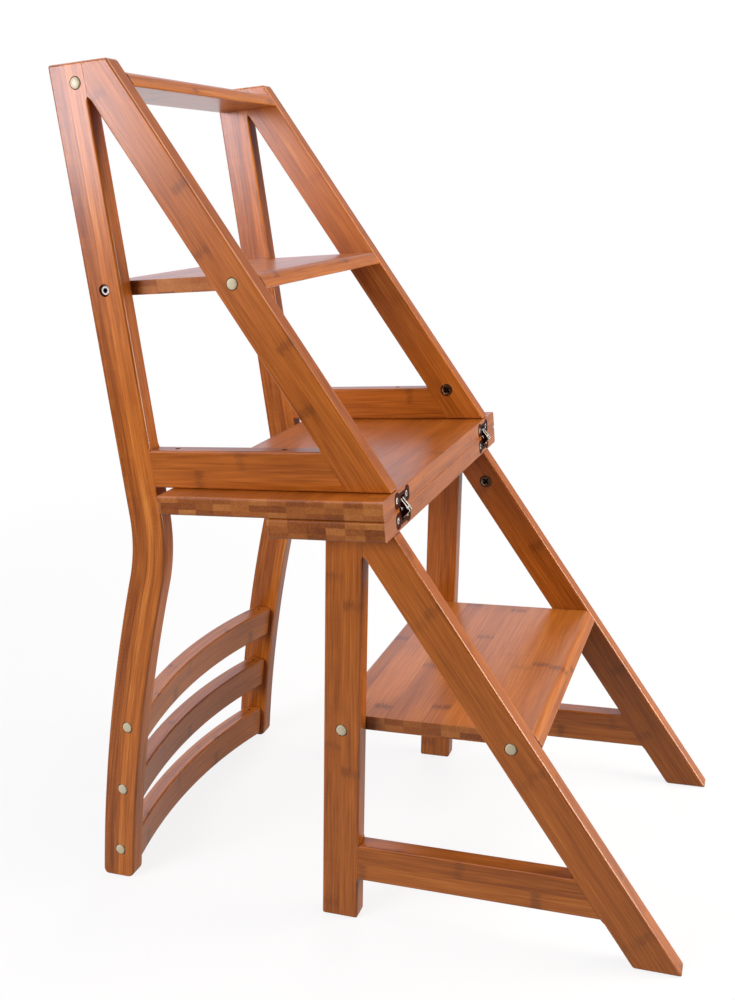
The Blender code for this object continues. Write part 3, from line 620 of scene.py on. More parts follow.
def upright(z, rear, front, side, low, high, rear_butts=(), front_butts=(), foot=0.0):
    """Rings of an upright board of one side frame: x from rear to front at each height, y over
    the board's thickness. The ends' easing draws both in, but not x where a face butts. foot is
    the radius that rounds the low end in x."""
    inset, heel = easing(z, low, high, EDGE, EDGE), easing(z, low, high, foot, 0.0)
    rear_radius, front_radius = edge_radius(z, rear_butts), edge_radius(z, front_butts)
    x_low = rear + inset * (rear_radius - HAIR) / (EDGE - HAIR) + heel
    x_high = front - inset * (front_radius - HAIR) / (EDGE - HAIR) - heel
    rear_corner = np.maximum(np.minimum(rear_radius, EDGE - inset), HAIR / 2)
    front_corner = np.maximum(np.minimum(front_radius, EDGE - inset), HAIR / 2)
    corners = [front_corner, rear_corner, rear_corner, front_corner]
    y_low, y_high = sorted((side * INNER_Y, side * OUTER_Y))
    return loft(z, x_low, x_high, y_low + inset, y_high - inset, corners)


print("edges run out from", EDGE, "to", HAIR, "mm over", RUN_OUT, "mm")

# %% [markdown]
# ## Fixings
# Bolts join the treads and slats to the side frames. Each goes in from outside through a
# counterbored hole, and a cream cap covers its head; one on each side has lost its cap. The
# places could be typed in, but they are worked out from the boards, so they always sit in them.

# %% Where the bolts go
TREAD_TOPS = {"low": 225.45, "mid": 684.45, "top": 887.5}
TOP_CAP_FORWARD = 9.0  # the top tread's cap before the post's middle
SLAT_HIGH, SLAT_THICK = 41.0, 20.0
FIRST_SLAT, SLAT_PITCH = 26.5, 78.0  # the lowest slat's centre height, and from one to the next
SLAT_SET_IN = 13.0  # from the post's rear face to the slat's
CAP_ABOVE_SLAT = 9.0  # above the slat's centre


def middle_of(edge, z):
    """x of the middle of the board that has this front edge, at height z."""
    return at(moved(edge, -BOARD_WIDE / 2), z)


def slat_places():
    """Each slat's number, centre height, rear face x at the posts, and lean."""
    found = []
    for number in (1, 2, 3):
        z = FIRST_SLAT + SLAT_PITCH * (number - 1)
        lean = float(post_middle(z)[1])
        found.append((number, z, float(post_edge(z, -1)) + SLAT_SET_IN * math.hypot(1, lean), lean))
    return found


def fixings():
    """(node name, board, x, z, kind) of every bolt of one side frame."""
    low, mid, top = (height - TREAD_THICK / 2 for height in TREAD_TOPS.values())
    found = [
        ("top_tread", "post", middle_of(POST_FRONT, top) + TOP_CAP_FORWARD, top, "cap"),
        ("mid_tread_rear", "post", middle_of(POST_FRONT, mid), mid, "bolt"),
        ("mid_tread_front", "upper_diagonal", middle_of(UPPER_DIAGONAL, mid), mid, "cap"),
        ("low_tread_rear", "lower_leg", middle_of(LEG_FRONT, low), low, "cap"),
        ("low_tread_front", "lower_diagonal", middle_of(LOWER_DIAGONAL, low), low, "cap"),
    ]
    for number, z, x, lean in slat_places():
        cap_x = x + SLAT_THICK / 2 + lean * CAP_ABOVE_SLAT
        found.append((f"back_slat_{number}", "post", cap_x, z + CAP_ABOVE_SLAT, "cap"))
    return found


print(len(fixings()), "bolts on each side")

# %% [markdown]
# ## Holes in the frames
# The outer faces have a counterbored hole for every bolt's head. The diagonals' inner faces have
# a seat for a barrel nut, in which a bolt through the seat board turns. A dark disc would pass
# for a hole from afar, but a real one has an edge and catches light inside, so each is cut. A
# nut's seat is one gap wider than the nut.

# %% Drills for the frames
HOLE, HOLE_DEEP = 6.5, 8.0  # the counterbore's radius and depth
DRILL_STEPS = 40
NUT_RADIUS, NUT_DEEP = 7.5, 10.0
NUT_RISE, NUT_DROP = 37.6, 40.0  # above the upper seat board, and below the lower one
NUTS = {
    "upper": (middle_of(UPPER_DIAGONAL, UPPER_SEAT_TOP + NUT_RISE), UPPER_SEAT_TOP + NUT_RISE),
    "lower": (middle_of(LOWER_DIAGONAL, LOWER_SEAT_LOW - NUT_DROP), LOWER_SEAT_LOW - NUT_DROP),
}


def bore(x, y, z, side, radius, deep):
    """A drill's cylinder into a face at y that looks along side times y."""
    return put(rod(radius, -deep, radius, DRILL_STEPS), facing(x, y, z, side))


def holes(board, side):
    """All the drills for one board of one side frame."""
    here = [(x, z) for _, where, x, z, _ in fixings() if where == board]
    return [bore(x, side * OUTER_Y, z, side, HOLE, HOLE_DEEP) for x, z in here]


def nut_hole(half, side):
    """The seat of a barrel nut, sunk in the board's inner face."""
    x, z = NUTS[half]
    return bore(x, side * INNER_Y, z, -side, NUT_RADIUS + GAP, NUT_DEEP + GAP)


print("a post has", len(holes("post", 1)), "holes")

# %% [markdown]
# ## The posts
# The post is the hardest board: straight above, bent below, with a rounded foot. Its grain
# coordinate along the board is the length of the centre line, summed numerically, so the glue
# lines of the bent laminate follow the sweep as they do on the real leg.

# %% Posts
JOINT = 0.1  # boards that butt leave this hairline
HEEL = 8.0  # the rounding of the foot
RAIL = (RAIL_LOW, RAIL_LOW + BOARD_WIDE)
curve_z = np.linspace(0, TOP_Z, int(2 * TOP_Z) + 1)  # every half millimetre
curve_length = np.concatenate([[0], np.cumsum(np.hypot(1, post_middle(curve_z)[1][:-1]) * np.diff(curve_z))])


def post_grain(side):
    """along = length of the centre line up to this height, across = distance from the line."""

    def grain(p):
        x, lean = post_middle(p[:, 2])
        across = (p[:, 0] - x) / np.hypot(1, lean)
        return np.stack([np.interp(p[:, 2], curve_z, curve_length), across, OUTER_Y - side * p[:, 1]], -1)

    return grain


def meeting(a, b):
    """The height where two leaning edges cross."""
    return (b[0] - a[0]) / (a[1] - b[1])


POST_FACE = moved(POST_FRONT, JOINT)
POST_BUTTS = [RAIL, (meeting(POST_FACE, UPPER_DIAGONAL_REAR), TOP_Z)]
for label, side in SIDES.items():
    z = np.union1d(stations(0, TOP_Z, EDGE, EDGE, between=0), stations(0, BEND_TOP, HEEL, 0, between=90))
    z = with_butts(np.union1d(z, np.linspace(BEND_TOP, TOP_Z - EDGE, 12)), POST_BUTTS)
    rings = upright(z, post_edge(z, -1), post_edge(z, 1), side, 0, TOP_Z, (), POST_BUTTS, HEEL)
    bamboo_piece(f"bent_post_{label}", rings, "upper_frame", f"post_{label}", post_grain(side),
                 BENT_GRAIN, holes("post", side), ALONG_Z)
print("posts have", len(z), "stations and are", round(curve_length[-1]), "mm long")

# %% [markdown]
# ## Diagonals and legs
# These boards are straight, so their faces are leaning lines. Where one butts against another,
# such as a diagonal's top against the post, its face is not eased, which leaves the hairline
# joint of the real frame. Each diagonal's rear face stops at the post or leg that it meets, so
# its upper end is cut to a long point without any Boolean.

# %% The frames' diagonals and legs
FOOT_RAIL = (47.0, 47.0 + BOARD_WIDE)
LEG_FACE = moved(LEG_FRONT, JOINT)
LEG_BUTTS = [FOOT_RAIL, (meeting(LEG_FACE, LOWER_DIAGONAL_REAR), LEG_TOP)]
# Name, front and rear edge, the face that it meets, its two heights, and where it butts
DIAGONALS = {
    "upper": ("ladder_rail", UPPER_DIAGONAL, UPPER_DIAGONAL_REAR, POST_FACE, RAIL_LOW, TOP_Z, POST_BUTTS),
    "lower": ("front_leg", LOWER_DIAGONAL, LOWER_DIAGONAL_REAR, LEG_FACE, 0, LEG_TOP, LEG_BUTTS),
}


def make_diagonal(half, label, side):
    """One diagonal: its rear is the further forward of its own rear edge and the face it meets."""
    name, front, rear, face, low, high, butts = DIAGONALS[half]
    z = with_butts(stations(low, high, EDGE, EDGE, between=6), butts)
    rings = upright(z, np.maximum(at(rear, z), at(face, z)), at(front, z), side, low, high, butts)
    drills = holes(f"{half}_diagonal", side) + [nut_hole(half, side)]
    bamboo_piece(f"{name}_{label}", rings, f"{half}_frame", f"{half}_diagonal_{label}",
                 leaning(front, side), PLAIN_GRAIN, drills, ALONG_Z)


def make_leg(label, side):
    """The short middle leg, under the lower seat board."""
    z = with_butts(stations(0, LEG_TOP, EDGE, EDGE, between=6), LEG_BUTTS)
    rings = upright(z, at(LEG_REAR, z), at(LEG_FRONT, z), side, 0, LEG_TOP, (), LEG_BUTTS)
    bamboo_piece(f"middle_leg_{label}", rings, "lower_frame", f"lower_leg_{label}",
                 leaning(LEG_FRONT, side), PLAIN_GRAIN, holes("lower_leg", side), ALONG_Z)


print("the lower diagonal meets its leg at", round(LEG_BUTTS[1][0]), "mm")

# %% [markdown]
# ## Rails
# A rail closes each triangle: an arm rail on the seat above, and a foot rail below. Their ends
# butt at a lean on both sides, so they are uprights of very small height. The arm rail's top
# has two plain screw holes, and these are drilled along z.

# %% The frames' rails
SCREW_INSETS = (28.0, 150.0)  # from the rail's rear end
SCREW_HOLE, SCREW_HOLE_DEEP = 3.0, 8.0
# Its two heights, body and node, and the two edges that it runs between
RAILS = {
    "arm_rail": (RAIL, "upper_frame", "apron", POST_FACE, UPPER_DIAGONAL_REAR),
    "foot_rail": (FOOT_RAIL, "lower_frame", "stretcher", LEG_FACE, LOWER_DIAGONAL_REAR),
}


def screw_holes(side):
    """The drills for the two screw holes in an arm rail's top."""
    drill = rod(SCREW_HOLE, -SCREW_HOLE_DEEP, SCREW_HOLE, 24)
    start, y = at(POST_FACE, RAIL[1]), side * (INNER_Y + OUTER_Y) / 2
    return [put(drill, Matrix.Translation((start + inset, y, RAIL[1]))) for inset in SCREW_INSETS]


def make_rail(name, label, side):
    """One rail, sharp at both ends, where it butts."""
    ends, body, node, rear, front = RAILS[name]
    z = stations(*ends, EDGE, EDGE, between=2)
    rings = upright(z, at(rear, z), at(moved(front, -JOINT), z), side, *ends, [ends], [ends])
    drills = screw_holes(side) if name == "arm_rail" else ()
    bamboo_piece(f"{name}_{label}", rings, body, f"{node}_{label}",
                 level(0, ends[0], side), PLAIN_GRAIN, drills)


for label, side in SIDES.items():
    make_diagonal("upper", label, side)
    make_diagonal("lower", label, side)
    make_leg(label, side)
    make_rail("arm_rail", label, side)
    make_rail("foot_rail", label, side)
print("side frames done, boards so far:", len(boards))

# %% [markdown]
# ## Treads
# A tread runs between the frames, so it is lofted along y. Its front and rear edges lean with
# the boards that hold it. Two tilted cuts would give that; here it is a shear that grows from
# the rear edge's lean to the front edge's. The strips run along the tread, and the culm nodes
# show as short dark dashes.

# %% Treads
TREAD_END, TREAD_ROUND = 0.6, 4.0  # the ends butt the frames, and the long edges are round
TREADS = {
    "low": (LEG_REAR, LOWER_DIAGONAL, "lower_frame"),
    "mid": (POST_REAR, UPPER_DIAGONAL, "upper_frame"),
    "top": (POST_REAR, UPPER_DIAGONAL, "upper_frame"),
}
for name, (rear, front, body) in TREADS.items():
    top = TREAD_TOPS[name]
    low, middle = top - TREAD_THICK, top - TREAD_THICK / 2
    y = stations(-BETWEEN, BETWEEN, TREAD_END, TREAD_END, between=10)
    inset = easing(y, -BETWEEN, BETWEEN, TREAD_END, TREAD_END)
    x_low, x_high = at(rear, middle), at(front, middle)
    corners = [TREAD_ROUND - inset] * 4
    rings = loft(y, x_low + inset, x_high - inset, low + inset, top - inset, corners, steps=8)
    share = (rings[..., 0] - x_low) / (x_high - x_low)
    rings[..., 0] += (rings[..., 1] - middle) * (rear[1] + (front[1] - rear[1]) * share)
    rings = rings[..., [0, 2, 1]]
    bamboo_piece(f"step_{name}", rings, body, f"{name}_tread", level(x_high, top), ends=ALONG_Y)
print("treads at", TREAD_TOPS)

# %% [markdown]
# ## Outlines and plates
# The hinge leaves and links are plates cut to an outline with round corners. A Bevel on a flat
# polygon would round them, but each corner here has its own radius, so the arcs are worked out.
# A plate is that outline at a few levels, drawn in slightly at both faces.

# %% Rounded outlines and plates


def rounded_outline(corners, radii, steps=6):
    """A closed outline with every corner swapped for an arc: the arc's centre lies on the
    corner's bisector at radius / sin(half the angle), and its points turn about it."""
    corners = np.array(corners, float)
    found = []
    for i, corner in enumerate(corners):
        back, on = corners[i - 1] - corner, corners[(i + 1) % len(corners)] - corner
        back, on = back / np.linalg.norm(back), on / np.linalg.norm(on)
        half = math.acos(np.clip(back @ on, -1, 1)) / 2
        centre = corner + (back + on) / np.linalg.norm(back + on) * radii[i] / math.sin(half)
        first = corner + back * radii[i] / math.tan(half) - centre
        last = corner + on * radii[i] / math.tan(half) - centre
        start = math.atan2(first[1], first[0])
        sweep = (math.atan2(last[1], last[0]) - start + math.pi) % (2 * math.pi) - math.pi
        turn = start + sweep * np.linspace(0, 1, steps + 1)
        found.append(centre + radii[i] * np.stack([np.cos(turn), np.sin(turn)], -1))
    return np.concatenate(found)


def plate(outline, low, high, ease=0.0, size=None):
    """A plate along x: the outline shrunk about its middle by 1 - inset / size at each level,
    where size is the outline's own half width unless given."""
    centre = outline.mean(0)
    levels = [(low, ease), (low + ease, 0), (high - ease, 0), (high, ease)] if ease else [(low, 0), (high, 0)]
    size = size or np.abs(outline - centre).max(0)
    rings = [np.column_stack([np.full(len(outline), x), centre + (outline - centre) * (1 - inset / size)])
             for x, inset in levels]
    return np.array(rings)


print("a round corner has", len(rounded_outline([(0, 0), (9, 0), (9, 9)], [1] * 3)) // 3, "points")

# %% [markdown]
# ## Seats for the hinges
# Each hinge has a leaf let into each seat board's fold edge, shaped like a butterfly with two
# lobes, and a round pocket between the boards where the links turn. The real seats are milled,
# so here they are cutters: the leaf's own outline grown by a gap, and a short turned drum.

# %% Cutters for the hinges
HINGE_Y = 155.5  # from the chair's middle to each hinge
LEAF_THICK, LEAF_LONG = 2.5, 43.6
LEAF_LOW, LEAF_WEB, LEAF_HIGH = 2.6, 15.6, 18.2  # heights over the seam
LOBE_INNER = 8.6  # half the notch between the lobes
BRIDGE_HALF, BRIDGE_LOW = 9.6, 0.8  # the tongue that comes down to the seam
CORNER_RADII = [5.0, 1.0, 0.4, 0.4, 1.0, 5.0, 6.0, 5.0, 1.0, 1.0, 5.0, 6.0]  # round the outline
SEAT_OPEN, PAST_SEAM = 6.0, -3.0  # how far a cutter stands out of the edge, and runs past the seam
POCKET_RADIUS, POCKET_HALF = 12.2, 5.5
TRUNNION_RADIUS, TRUNNION_HALF = 1.6, 8.7


def leaf_outline(grow, past_seam):
    """The leaf's butterfly outline in (y, height over the seam): two lobes, a web between them,
    and a bridge to the seam."""
    half, inner, bridge = LEAF_LONG / 2 + grow, LOBE_INNER - grow, BRIDGE_HALF + grow
    low, web, high = LEAF_LOW - grow, LEAF_WEB + grow, LEAF_HIGH + grow
    tongue = [(-bridge, low), (-bridge, past_seam), (bridge, past_seam), (bridge, low)]
    notch = [(inner, high), (inner, web), (-inner, web), (-inner, high)]
    corners = [(-half, low), *tongue, (half, low), (half, high), *notch, (-half, high)]
    return rounded_outline(corners, CORNER_RADII)


def leaf_seat(way, side):
    """The cutter for a leaf's seat in the fold edge: the leaf's outline, grown by the gap."""
    outline = leaf_outline(GAP, PAST_SEAM) * (1, way) + (side * HINGE_Y, SEAM_Z)
    return solid(plate(outline, FRONT_X - LEAF_THICK - GAP, FRONT_X + SEAT_OPEN))


def link_pocket(side):
    """The cutter for the links' round pocket on the fold axis, with seats for the trunnions."""
    narrow, half, end = TRUNNION_RADIUS + GAP, POCKET_HALF, TRUNNION_HALF + GAP
    profile = [(0, -end), (narrow, -end), (narrow, -half), (POCKET_RADIUS, -half),
               (POCKET_RADIUS, half), (narrow, half), (narrow, end), (0, end)]
    return put(turned(profile, 48), facing(SEAM_X, side * HINGE_Y, SEAM_Z, 1))


print("a leaf is", LEAF_LONG, "by", round(LEAF_HIGH - BRIDGE_LOW, 1), "mm")

# %% [markdown]
# ## Seat boards
# Two boards meet at the seam. Their fold edge is square, so that they close tight; the sides
# and the free edge are rounded over. The sides show the cut ends of three layers of strips,
# light and dark like small bricks. The free edge is drawn slightly further back than the solid,
# because the photographed board reaches closer to the posts.

# %% Seat boards
SEAT_HALF = 210.0
SEAT_DEPTHS = {"upper": 243.0, "lower": 121.0}  # of the solids, and the pieces are REAR_MORE deeper
ROUND, REAR_MORE = 3.2, 2.5
FOLD_CORNER = 0.5
REAR_LEAST, TIGHTEN = 1.2, 0.6  # the rear corners tighten to this radius as the ends draw in, and how fast
HALVES = {"upper": 1, "lower": -1}
for half, way in HALVES.items():
    low = SEAM_Z + GAP / 2 if way > 0 else LOWER_SEAT_LOW
    y = stations(-SEAT_HALF, SEAT_HALF, ROUND, ROUND, between=12)
    inset = easing(y, -SEAT_HALF, SEAT_HALF, ROUND, ROUND)
    rear_corner = np.maximum(ROUND - inset * TIGHTEN, REAR_LEAST)
    corners = [FOLD_CORNER, rear_corner, rear_corner, FOLD_CORNER]
    rear_x = FRONT_X - SEAT_DEPTHS[half] - REAR_MORE
    rings = loft(y, rear_x + inset, FRONT_X, low + inset, low + SEAT_THICK - inset, corners, steps=6)
    cutters = [leaf_seat(way, side) for side in SIDES.values()]
    cutters += [link_pocket(side) for side in SIDES.values()]
    bamboo_piece(f"seat_{half}", rings[..., [0, 2, 1]], f"{half}_frame", f"seat_board_{half}",
                 level(FRONT_X, low), PLAIN_GRAIN, cutters, ALONG_Y)
print("seat boards", SEAT_DEPTHS, "mm deep")

# %% [markdown]
# ## Bowed back slats
# In the ladder the chair's back hangs upside down near the floor: three slats that bow away
# from the sitter. Bending modifiers could curve a straight bar, but a parabola says the same
# in one line. Each slat leans as the post does where it joins, and has a small hole for a pin
# near each end of its top.

# %% Slats
SLAT_BOW, SLAT_END = 20.0, 0.6
PIN_Y = 150.0
PIN_HOLE = rod(radius=1.9, low=-8.0, high=4.0, steps=16)


def bow(y):
    """How far a slat's face stands from the posts' line: a parabola, 0 at the posts and
    -SLAT_BOW in the middle."""
    return SLAT_BOW * ((y / BETWEEN) ** 2 - 1)


def slat_grain(tilt):
    """Grain along y, across the slat's height, through from its bowed rear face."""
    back = tilt.inverted()

    def grain(p):
        q = placed(p, back)
        return np.stack([q[:, 1], q[:, 2] + SLAT_HIGH / 2, q[:, 0] - bow(q[:, 1])], -1)

    return grain


for number, z0, rear_x, lean in slat_places():
    y = stations(-BETWEEN, BETWEEN, SLAT_END, SLAT_END, between=40)
    inset = easing(y, -BETWEEN, BETWEEN, SLAT_END, SLAT_END)
    low, high = inset - SLAT_HIGH / 2, SLAT_HIGH / 2 - inset
    rings = loft(y, bow(y) + inset, bow(y) + SLAT_THICK - inset, low, high, [EDGE] * 4)[..., [0, 2, 1]]
    tilt = Matrix.Translation((rear_x, 0, z0)) @ Matrix.Rotation(math.atan(lean), 4, "Y")
    spots = [(SLAT_THICK / 2 + bow(PIN_Y), side * PIN_Y, SLAT_HIGH / 2) for side in SIDES.values()]
    pins = [put(PIN_HOLE, tilt @ Matrix.Translation(spot)) for spot in spots]
    rings = placed(rings.reshape(-1, 3), tilt).reshape(rings.shape)
    bamboo_piece(f"bowed_slat_{number}", rings, "upper_frame", f"back_slat_{number}", slat_grain(tilt),
                 cutters=pins, ends=ALONG_Y)
print("slats bow", SLAT_BOW, "mm")

# %% [markdown]
# ## Plastic and metal
# The caps are injection-moulded plastic, the bolts and links zinc-plated steel, and the hinge
# leaves die-cast and bronzed. One flat colour would make them look like toys. Small fittings
# are handled, oiled and a little worn, so their colour and gloss drift over a few millimetres.
# Metals keep the shader's default IOR.

# %% Finishes of the fittings
WORN_DRIFT = 0.2  # of roughness


def speckled(name, colours, roughness, metallic, speckle_mm, coat=0.0, relief=0.04):
    """A plastic or metal whose colour and gloss drift a little over speckle_mm, with a relief
    in mm."""
    made, tree, shader = material(name)
    place = add(tree, "TexCoord", out="Object")
    drift = add(tree, "TexNoise", Vector=place, Scale=1 / (speckle_mm * MM), Detail=4.0)
    colour = add(tree, "Mix", COLOURS, drift, i6=linear(colours[0]), i7=linear(colours[1]), out=2)
    gloss = add(tree, "Math", "MULTIPLY_ADD", drift, WORN_DRIFT, roughness - WORN_DRIFT / 2)
    bump = add(tree, "Bump", Strength=0.2, Distance=relief * MM, Height=drift)
    feed(shader, Base_Color=colour, Roughness=gloss, Metallic=metallic, Coat_Weight=coat, Normal=bump)
    return made


# Warm ivory with a soft moulded gloss, which stands out from the brown
CAP = speckled("moulded_cream_plastic", ("#cdc4a6", "#bab08e"),
               roughness=0.34, metallic=0.0, speckle_mm=6.0, coat=0.3)
# Bright and slightly milky, so it shows pale even where it mirrors the dark boards
BRIGHT = speckled("zinc_plated_steel", ("#f4f0e8", "#d6cfc4"), roughness=0.4, metallic=0.7, speckle_mm=1.5)
# Nearly black with a brown warmth, and a coarse cast skin that breaks up the shine. It is the
# leaves' own bronze, and painted shade on the link plates' flat sides
DARK = speckled("bronzed_zinc_and_painted_link_shade", ("#54281c", "#180a07"),
                roughness=0.55, metallic=1.0, speckle_mm=2.2, relief=0.5)
# A mid grey brown that is darker than the bolts but lighter than the hinges
NUT = speckled("dark_barrel_nut_steel", ("#93826f", "#5d4f42"), roughness=0.42, metallic=1.0, speckle_mm=1.5)
# Painted shade inside every drive: near black and dull, standing in for the shadow in the recess
DRIVE_SHADE = speckled("painted_shade_in_drive_recess", ("#1c1512", "#0c0807"),
                  roughness=0.6, metallic=0.3, speckle_mm=1.0)
print("fitting finishes:", CAP.name, BRIGHT.name, DARK.name, NUT.name, DRIVE_SHADE.name)

# %% [markdown]
# ## Shapes of the fittings
# A cap is a shallow dome, a bolt has a six-sided key socket, and nuts and screws have a cross
# slot. A bump map could draw the slots, but they show as real shadows in a close view, so they
# are cut, and their inside faces are also painted near black as shade. Each fitting is made at
# the origin, where it is drilled, and then put in its place.

# %% Fittings at the origin
KEY_CORNER = 2.89  # a 5 mm key is 5 / sqrt(3) from axis to corner
CAP_RADIUS, CAP_DEEP, CAP_DOME = 5.75, 4.0, 1.4
DOME_POWER = 0.55  # a power under 1 keeps the dome full towards its rim
turn = np.linspace(0, np.pi / 2, 9)[:-1]
dome = np.stack([CAP_RADIUS * np.cos(turn) ** DOME_POWER, CAP_DOME * np.sin(turn)], -1).tolist()
# Each profile is (radius, height over the face), from the axis below to the axis above
CAP_PROFILE = [(0, -CAP_DEEP), (CAP_RADIUS, -CAP_DEEP), *dome, (0, CAP_DOME)]
BOLT_PROFILE = [(0, -7.7), (4.8, -7.7), (4.8, -2.3), (4.3, -1.8), (0, -1.8)]
NUT_PROFILE = [(0, -NUT_DEEP), (NUT_RADIUS, -NUT_DEEP), (NUT_RADIUS, -0.9), (6.9, -0.2), (5.6, 0.0),
               (5.2, -0.5), (0, -0.5)]
SCREW_PROFILE = [(0, -4.8), (1.6, -4.8), (1.6, -2.0), (3.4, -0.7), (3.2, -0.4), (2.0, -0.16), (0, -0.1)]


def cross(reach, wide, deep, corner):
    """Two crossed blades, each reach long and wide across from the axis, down to a depth."""
    blade = solid(loft(np.array([-deep, 2.0]), -reach, reach, -wide, wide, [corner] * 4))
    return [put(blade, Matrix.Rotation(turn * math.pi / 4, 4, "Z")) for turn in (1, 3)]


KEY_SOCKET = [rod(KEY_CORNER, low=-5.0, high=3.0, steps=6)]
NUT_CROSS = cross(reach=4.4, wide=1.4, deep=3.4, corner=0.4)
SCREW_CROSS = cross(reach=2.2, wide=0.6, deep=1.2, corner=0.1)
# Profile, steps round, drills, where the drive's faces lie that take painted shade (low, high,
# reach from the axis), slot and finishes
FITTINGS = {
    "cap": (CAP_PROFILE, 48, [], None, "cap", [CAP]),
    "bolt": (BOLT_PROFILE, 48, KEY_SOCKET, (-5.2, -1.9, 3.0), "bright_steel", [BRIGHT, DRIVE_SHADE]),
    "nut": (NUT_PROFILE, 48, NUT_CROSS, (-3.6, -0.6, 4.6), "dark_steel", [NUT, DRIVE_SHADE]),
    "screw": (SCREW_PROFILE, 32, SCREW_CROSS, (-1.4, -0.25, 2.4), "bright_steel", [BRIGHT, DRIVE_SHADE]),
}
print("kinds of fitting:", ", ".join(FITTINGS))

# %% [markdown]
# ## Caps, bolts and nuts
# The caps and the bare bolts sit in the holes on the outer faces, and the barrel nuts look
# inwards from the diagonals. One mesh could be shared by all copies, but the export wants each
# piece's place in its own mesh, so every fitting gets a mesh of its own.

# %% Fittings on both sides


def recess(mesh, low, high, reach):
    """Marks the faces of a drive recess, which take painted shade: their centres lie between two
    heights and within reach of the axis."""
    x, y, z = rows_of(mesh.polygons, "center").T / MM
    return (z > low) & (z < high) & (np.hypot(x, y) < reach)


def fitting(name, kind, spot, body, node):
    """Makes one fitting at its spot, a frame whose +z looks out."""
    profile, steps, drills, shade_zone, slot, finishes = FITTINGS[kind]
    mesh = mesh_of(kind, *turned(profile, steps))
    if drills:
        mesh = drilled(mesh, drills)
    # Painted shade: the drive's inside faces take the near-black second finish
    second = recess(mesh, *shade_zone) if shade_zone else None
    mesh.transform(Matrix.Scale(MM, 4) @ spot @ Matrix.Scale(1 / MM, 4))
    piece(name, mesh, body, node, finishes, second)


for label, side in SIDES.items():
    for name, board, x, z, kind in fixings():
        body = "lower_frame" if name.startswith("low") else "upper_frame"
        spot = facing(x, side * OUTER_Y, z, side)
        fitting(f"{kind}_on_{name}_{label}", kind, spot, body, f"{kind}_{name}_{label}")
    for half, (x, z) in NUTS.items():
        spot = facing(x, side * INNER_Y, z, -side)
        fitting(f"barrel_nut_{half}_{label}", "nut", spot, f"{half}_frame", f"nut_{half}_{label}")
print("caps, bolts and nuts on both sides")

# %% [markdown]
# ## Hinge leaves
# Each leaf is a die-cast plate let flush into a seat board's edge, with a countersunk screw in
# either lobe. The countersinks could be modelled as dents in the outline's mesh, but a drill
# makes them cleaner. The bite of the link pocket is cut with the seat board's own cutter, so
# plate and board always match.

# %% Leaves and screws
LEAF_EASE = 0.35
SCREW_APART, SCREW_RISE = 14.0, 10.0  # from the hinge's middle and from the seam
COUNTERSINK = turned([(0, -5.0), (1.9, -5.0), (1.9, -2.3), (3.7, -0.6), (3.7, 2.0), (0, 2.0)], 32)


def make_leaf(half, label, side):
    """One leaf with its two screws, each at its own spot, which looks out along x."""
    way, name = HALVES[half], f"{half}_{label}"
    cutters = [link_pocket(side)]
    for number, end in enumerate((-1, 1), 1):
        place = (FRONT_X, side * HINGE_Y + end * SCREW_APART, SEAM_Z + way * SCREW_RISE)
        spot = Matrix.Translation(place) @ Matrix.Rotation(math.pi / 2, 4, "Y")
        cutters.append(put(COUNTERSINK, spot))
        fitting(f"hinge_screw_head_{name}_{number}", "screw", spot, f"{half}_frame",
                f"hinge_screw_{name}_{number}")
    outline = leaf_outline(0.0, BRIDGE_LOW) * (1, way) + (side * HINGE_Y, SEAM_Z)
    mesh = mesh_of("leaf", *solid(plate(outline, FRONT_X - LEAF_THICK, FRONT_X, LEAF_EASE)))
    piece(f"hinge_plate_{name}", drilled(mesh, cutters), f"{half}_frame", f"hinge_leaf_{name}",
          [DARK])


print("screws", 2 * SCREW_APART, "mm apart in each leaf")

# %% [markdown]
# ## Hinge links
# Two steel link plates stand out over the seam when the ladder is up. They are blunt
# triangles on edge, with a pin through both and a trunnion on the fold axis that carries them.
# They always turn together, and an object for each would only make the list of pieces longer,
# so plates and pins are joined as one. The plates' flat sides and the pins' ends are painted
# dark with the leaves' bronze as shade, and the rest is bright steel.

# %% Links and both hinges
LINK_CORNERS, LINK_RADII = [(-1.4, 11.0), (8.4, -2.6), (0.0, -11.0)], [0.6, 1.8, 0.6]
LINK_HALF, LINK_EASE = 1.1, 0.3  # half a plate's thickness, and its eased edge
LINK_SIZE = 5.0  # the half width that the easing is a share of
LINK_MIDDLES = (-2.9, 2.9)  # where the two plates stand along the axis
FLAT_COSINE = 0.8  # a face within 37 degrees of the axis is flat
PIN_AHEAD, PIN_RADIUS, PIN_HALF = 4.6, 1.3, 5.1


def joined(shapes):
    """Several shapes as one: each one's faces count on from the points before it."""
    points, faces = np.zeros((0, 3)), []
    for more, more_faces in shapes:
        faces += [[index + len(points) for index in face] for face in more_faces]
        points = np.concatenate([points, more])
    return points, faces


def make_links(label, side):
    """A hinge's two link plates, the pin through them and the trunnion that carries them."""
    flat = plate(rounded_outline(LINK_CORNERS, LINK_RADII, 10), -LINK_HALF, LINK_HALF, LINK_EASE, LINK_SIZE)
    shapes = []
    for middle in LINK_MIDDLES:
        shapes.append(solid(flat[..., [1, 0, 2]] + (SEAM_X, side * HINGE_Y + middle, SEAM_Z)))
    for ahead, radius, half in ((PIN_AHEAD, PIN_RADIUS, PIN_HALF), (0.0, TRUNNION_RADIUS, TRUNNION_HALF)):
        shapes.append(put(rod(radius, -half, half, 24), facing(SEAM_X + ahead, side * HINGE_Y, SEAM_Z, 1)))
    mesh = mesh_of("links", *joined(shapes))
    # Painted shade: the faces that look along the axis take the dark bronze
    painted_shade_flats = np.abs(rows_of(mesh.polygons, "normal")[:, 1]) > FLAT_COSINE
    piece(f"hinge_link_pack_{label}", mesh, f"{label}_links", f"hinge_links_{label}",
          [BRIGHT, DARK], painted_shade_flats)


for label, side in SIDES.items():
    make_leaf("upper", label, side)
    make_leaf("lower", label, side)
    make_links(label, side)
print("two hinges")

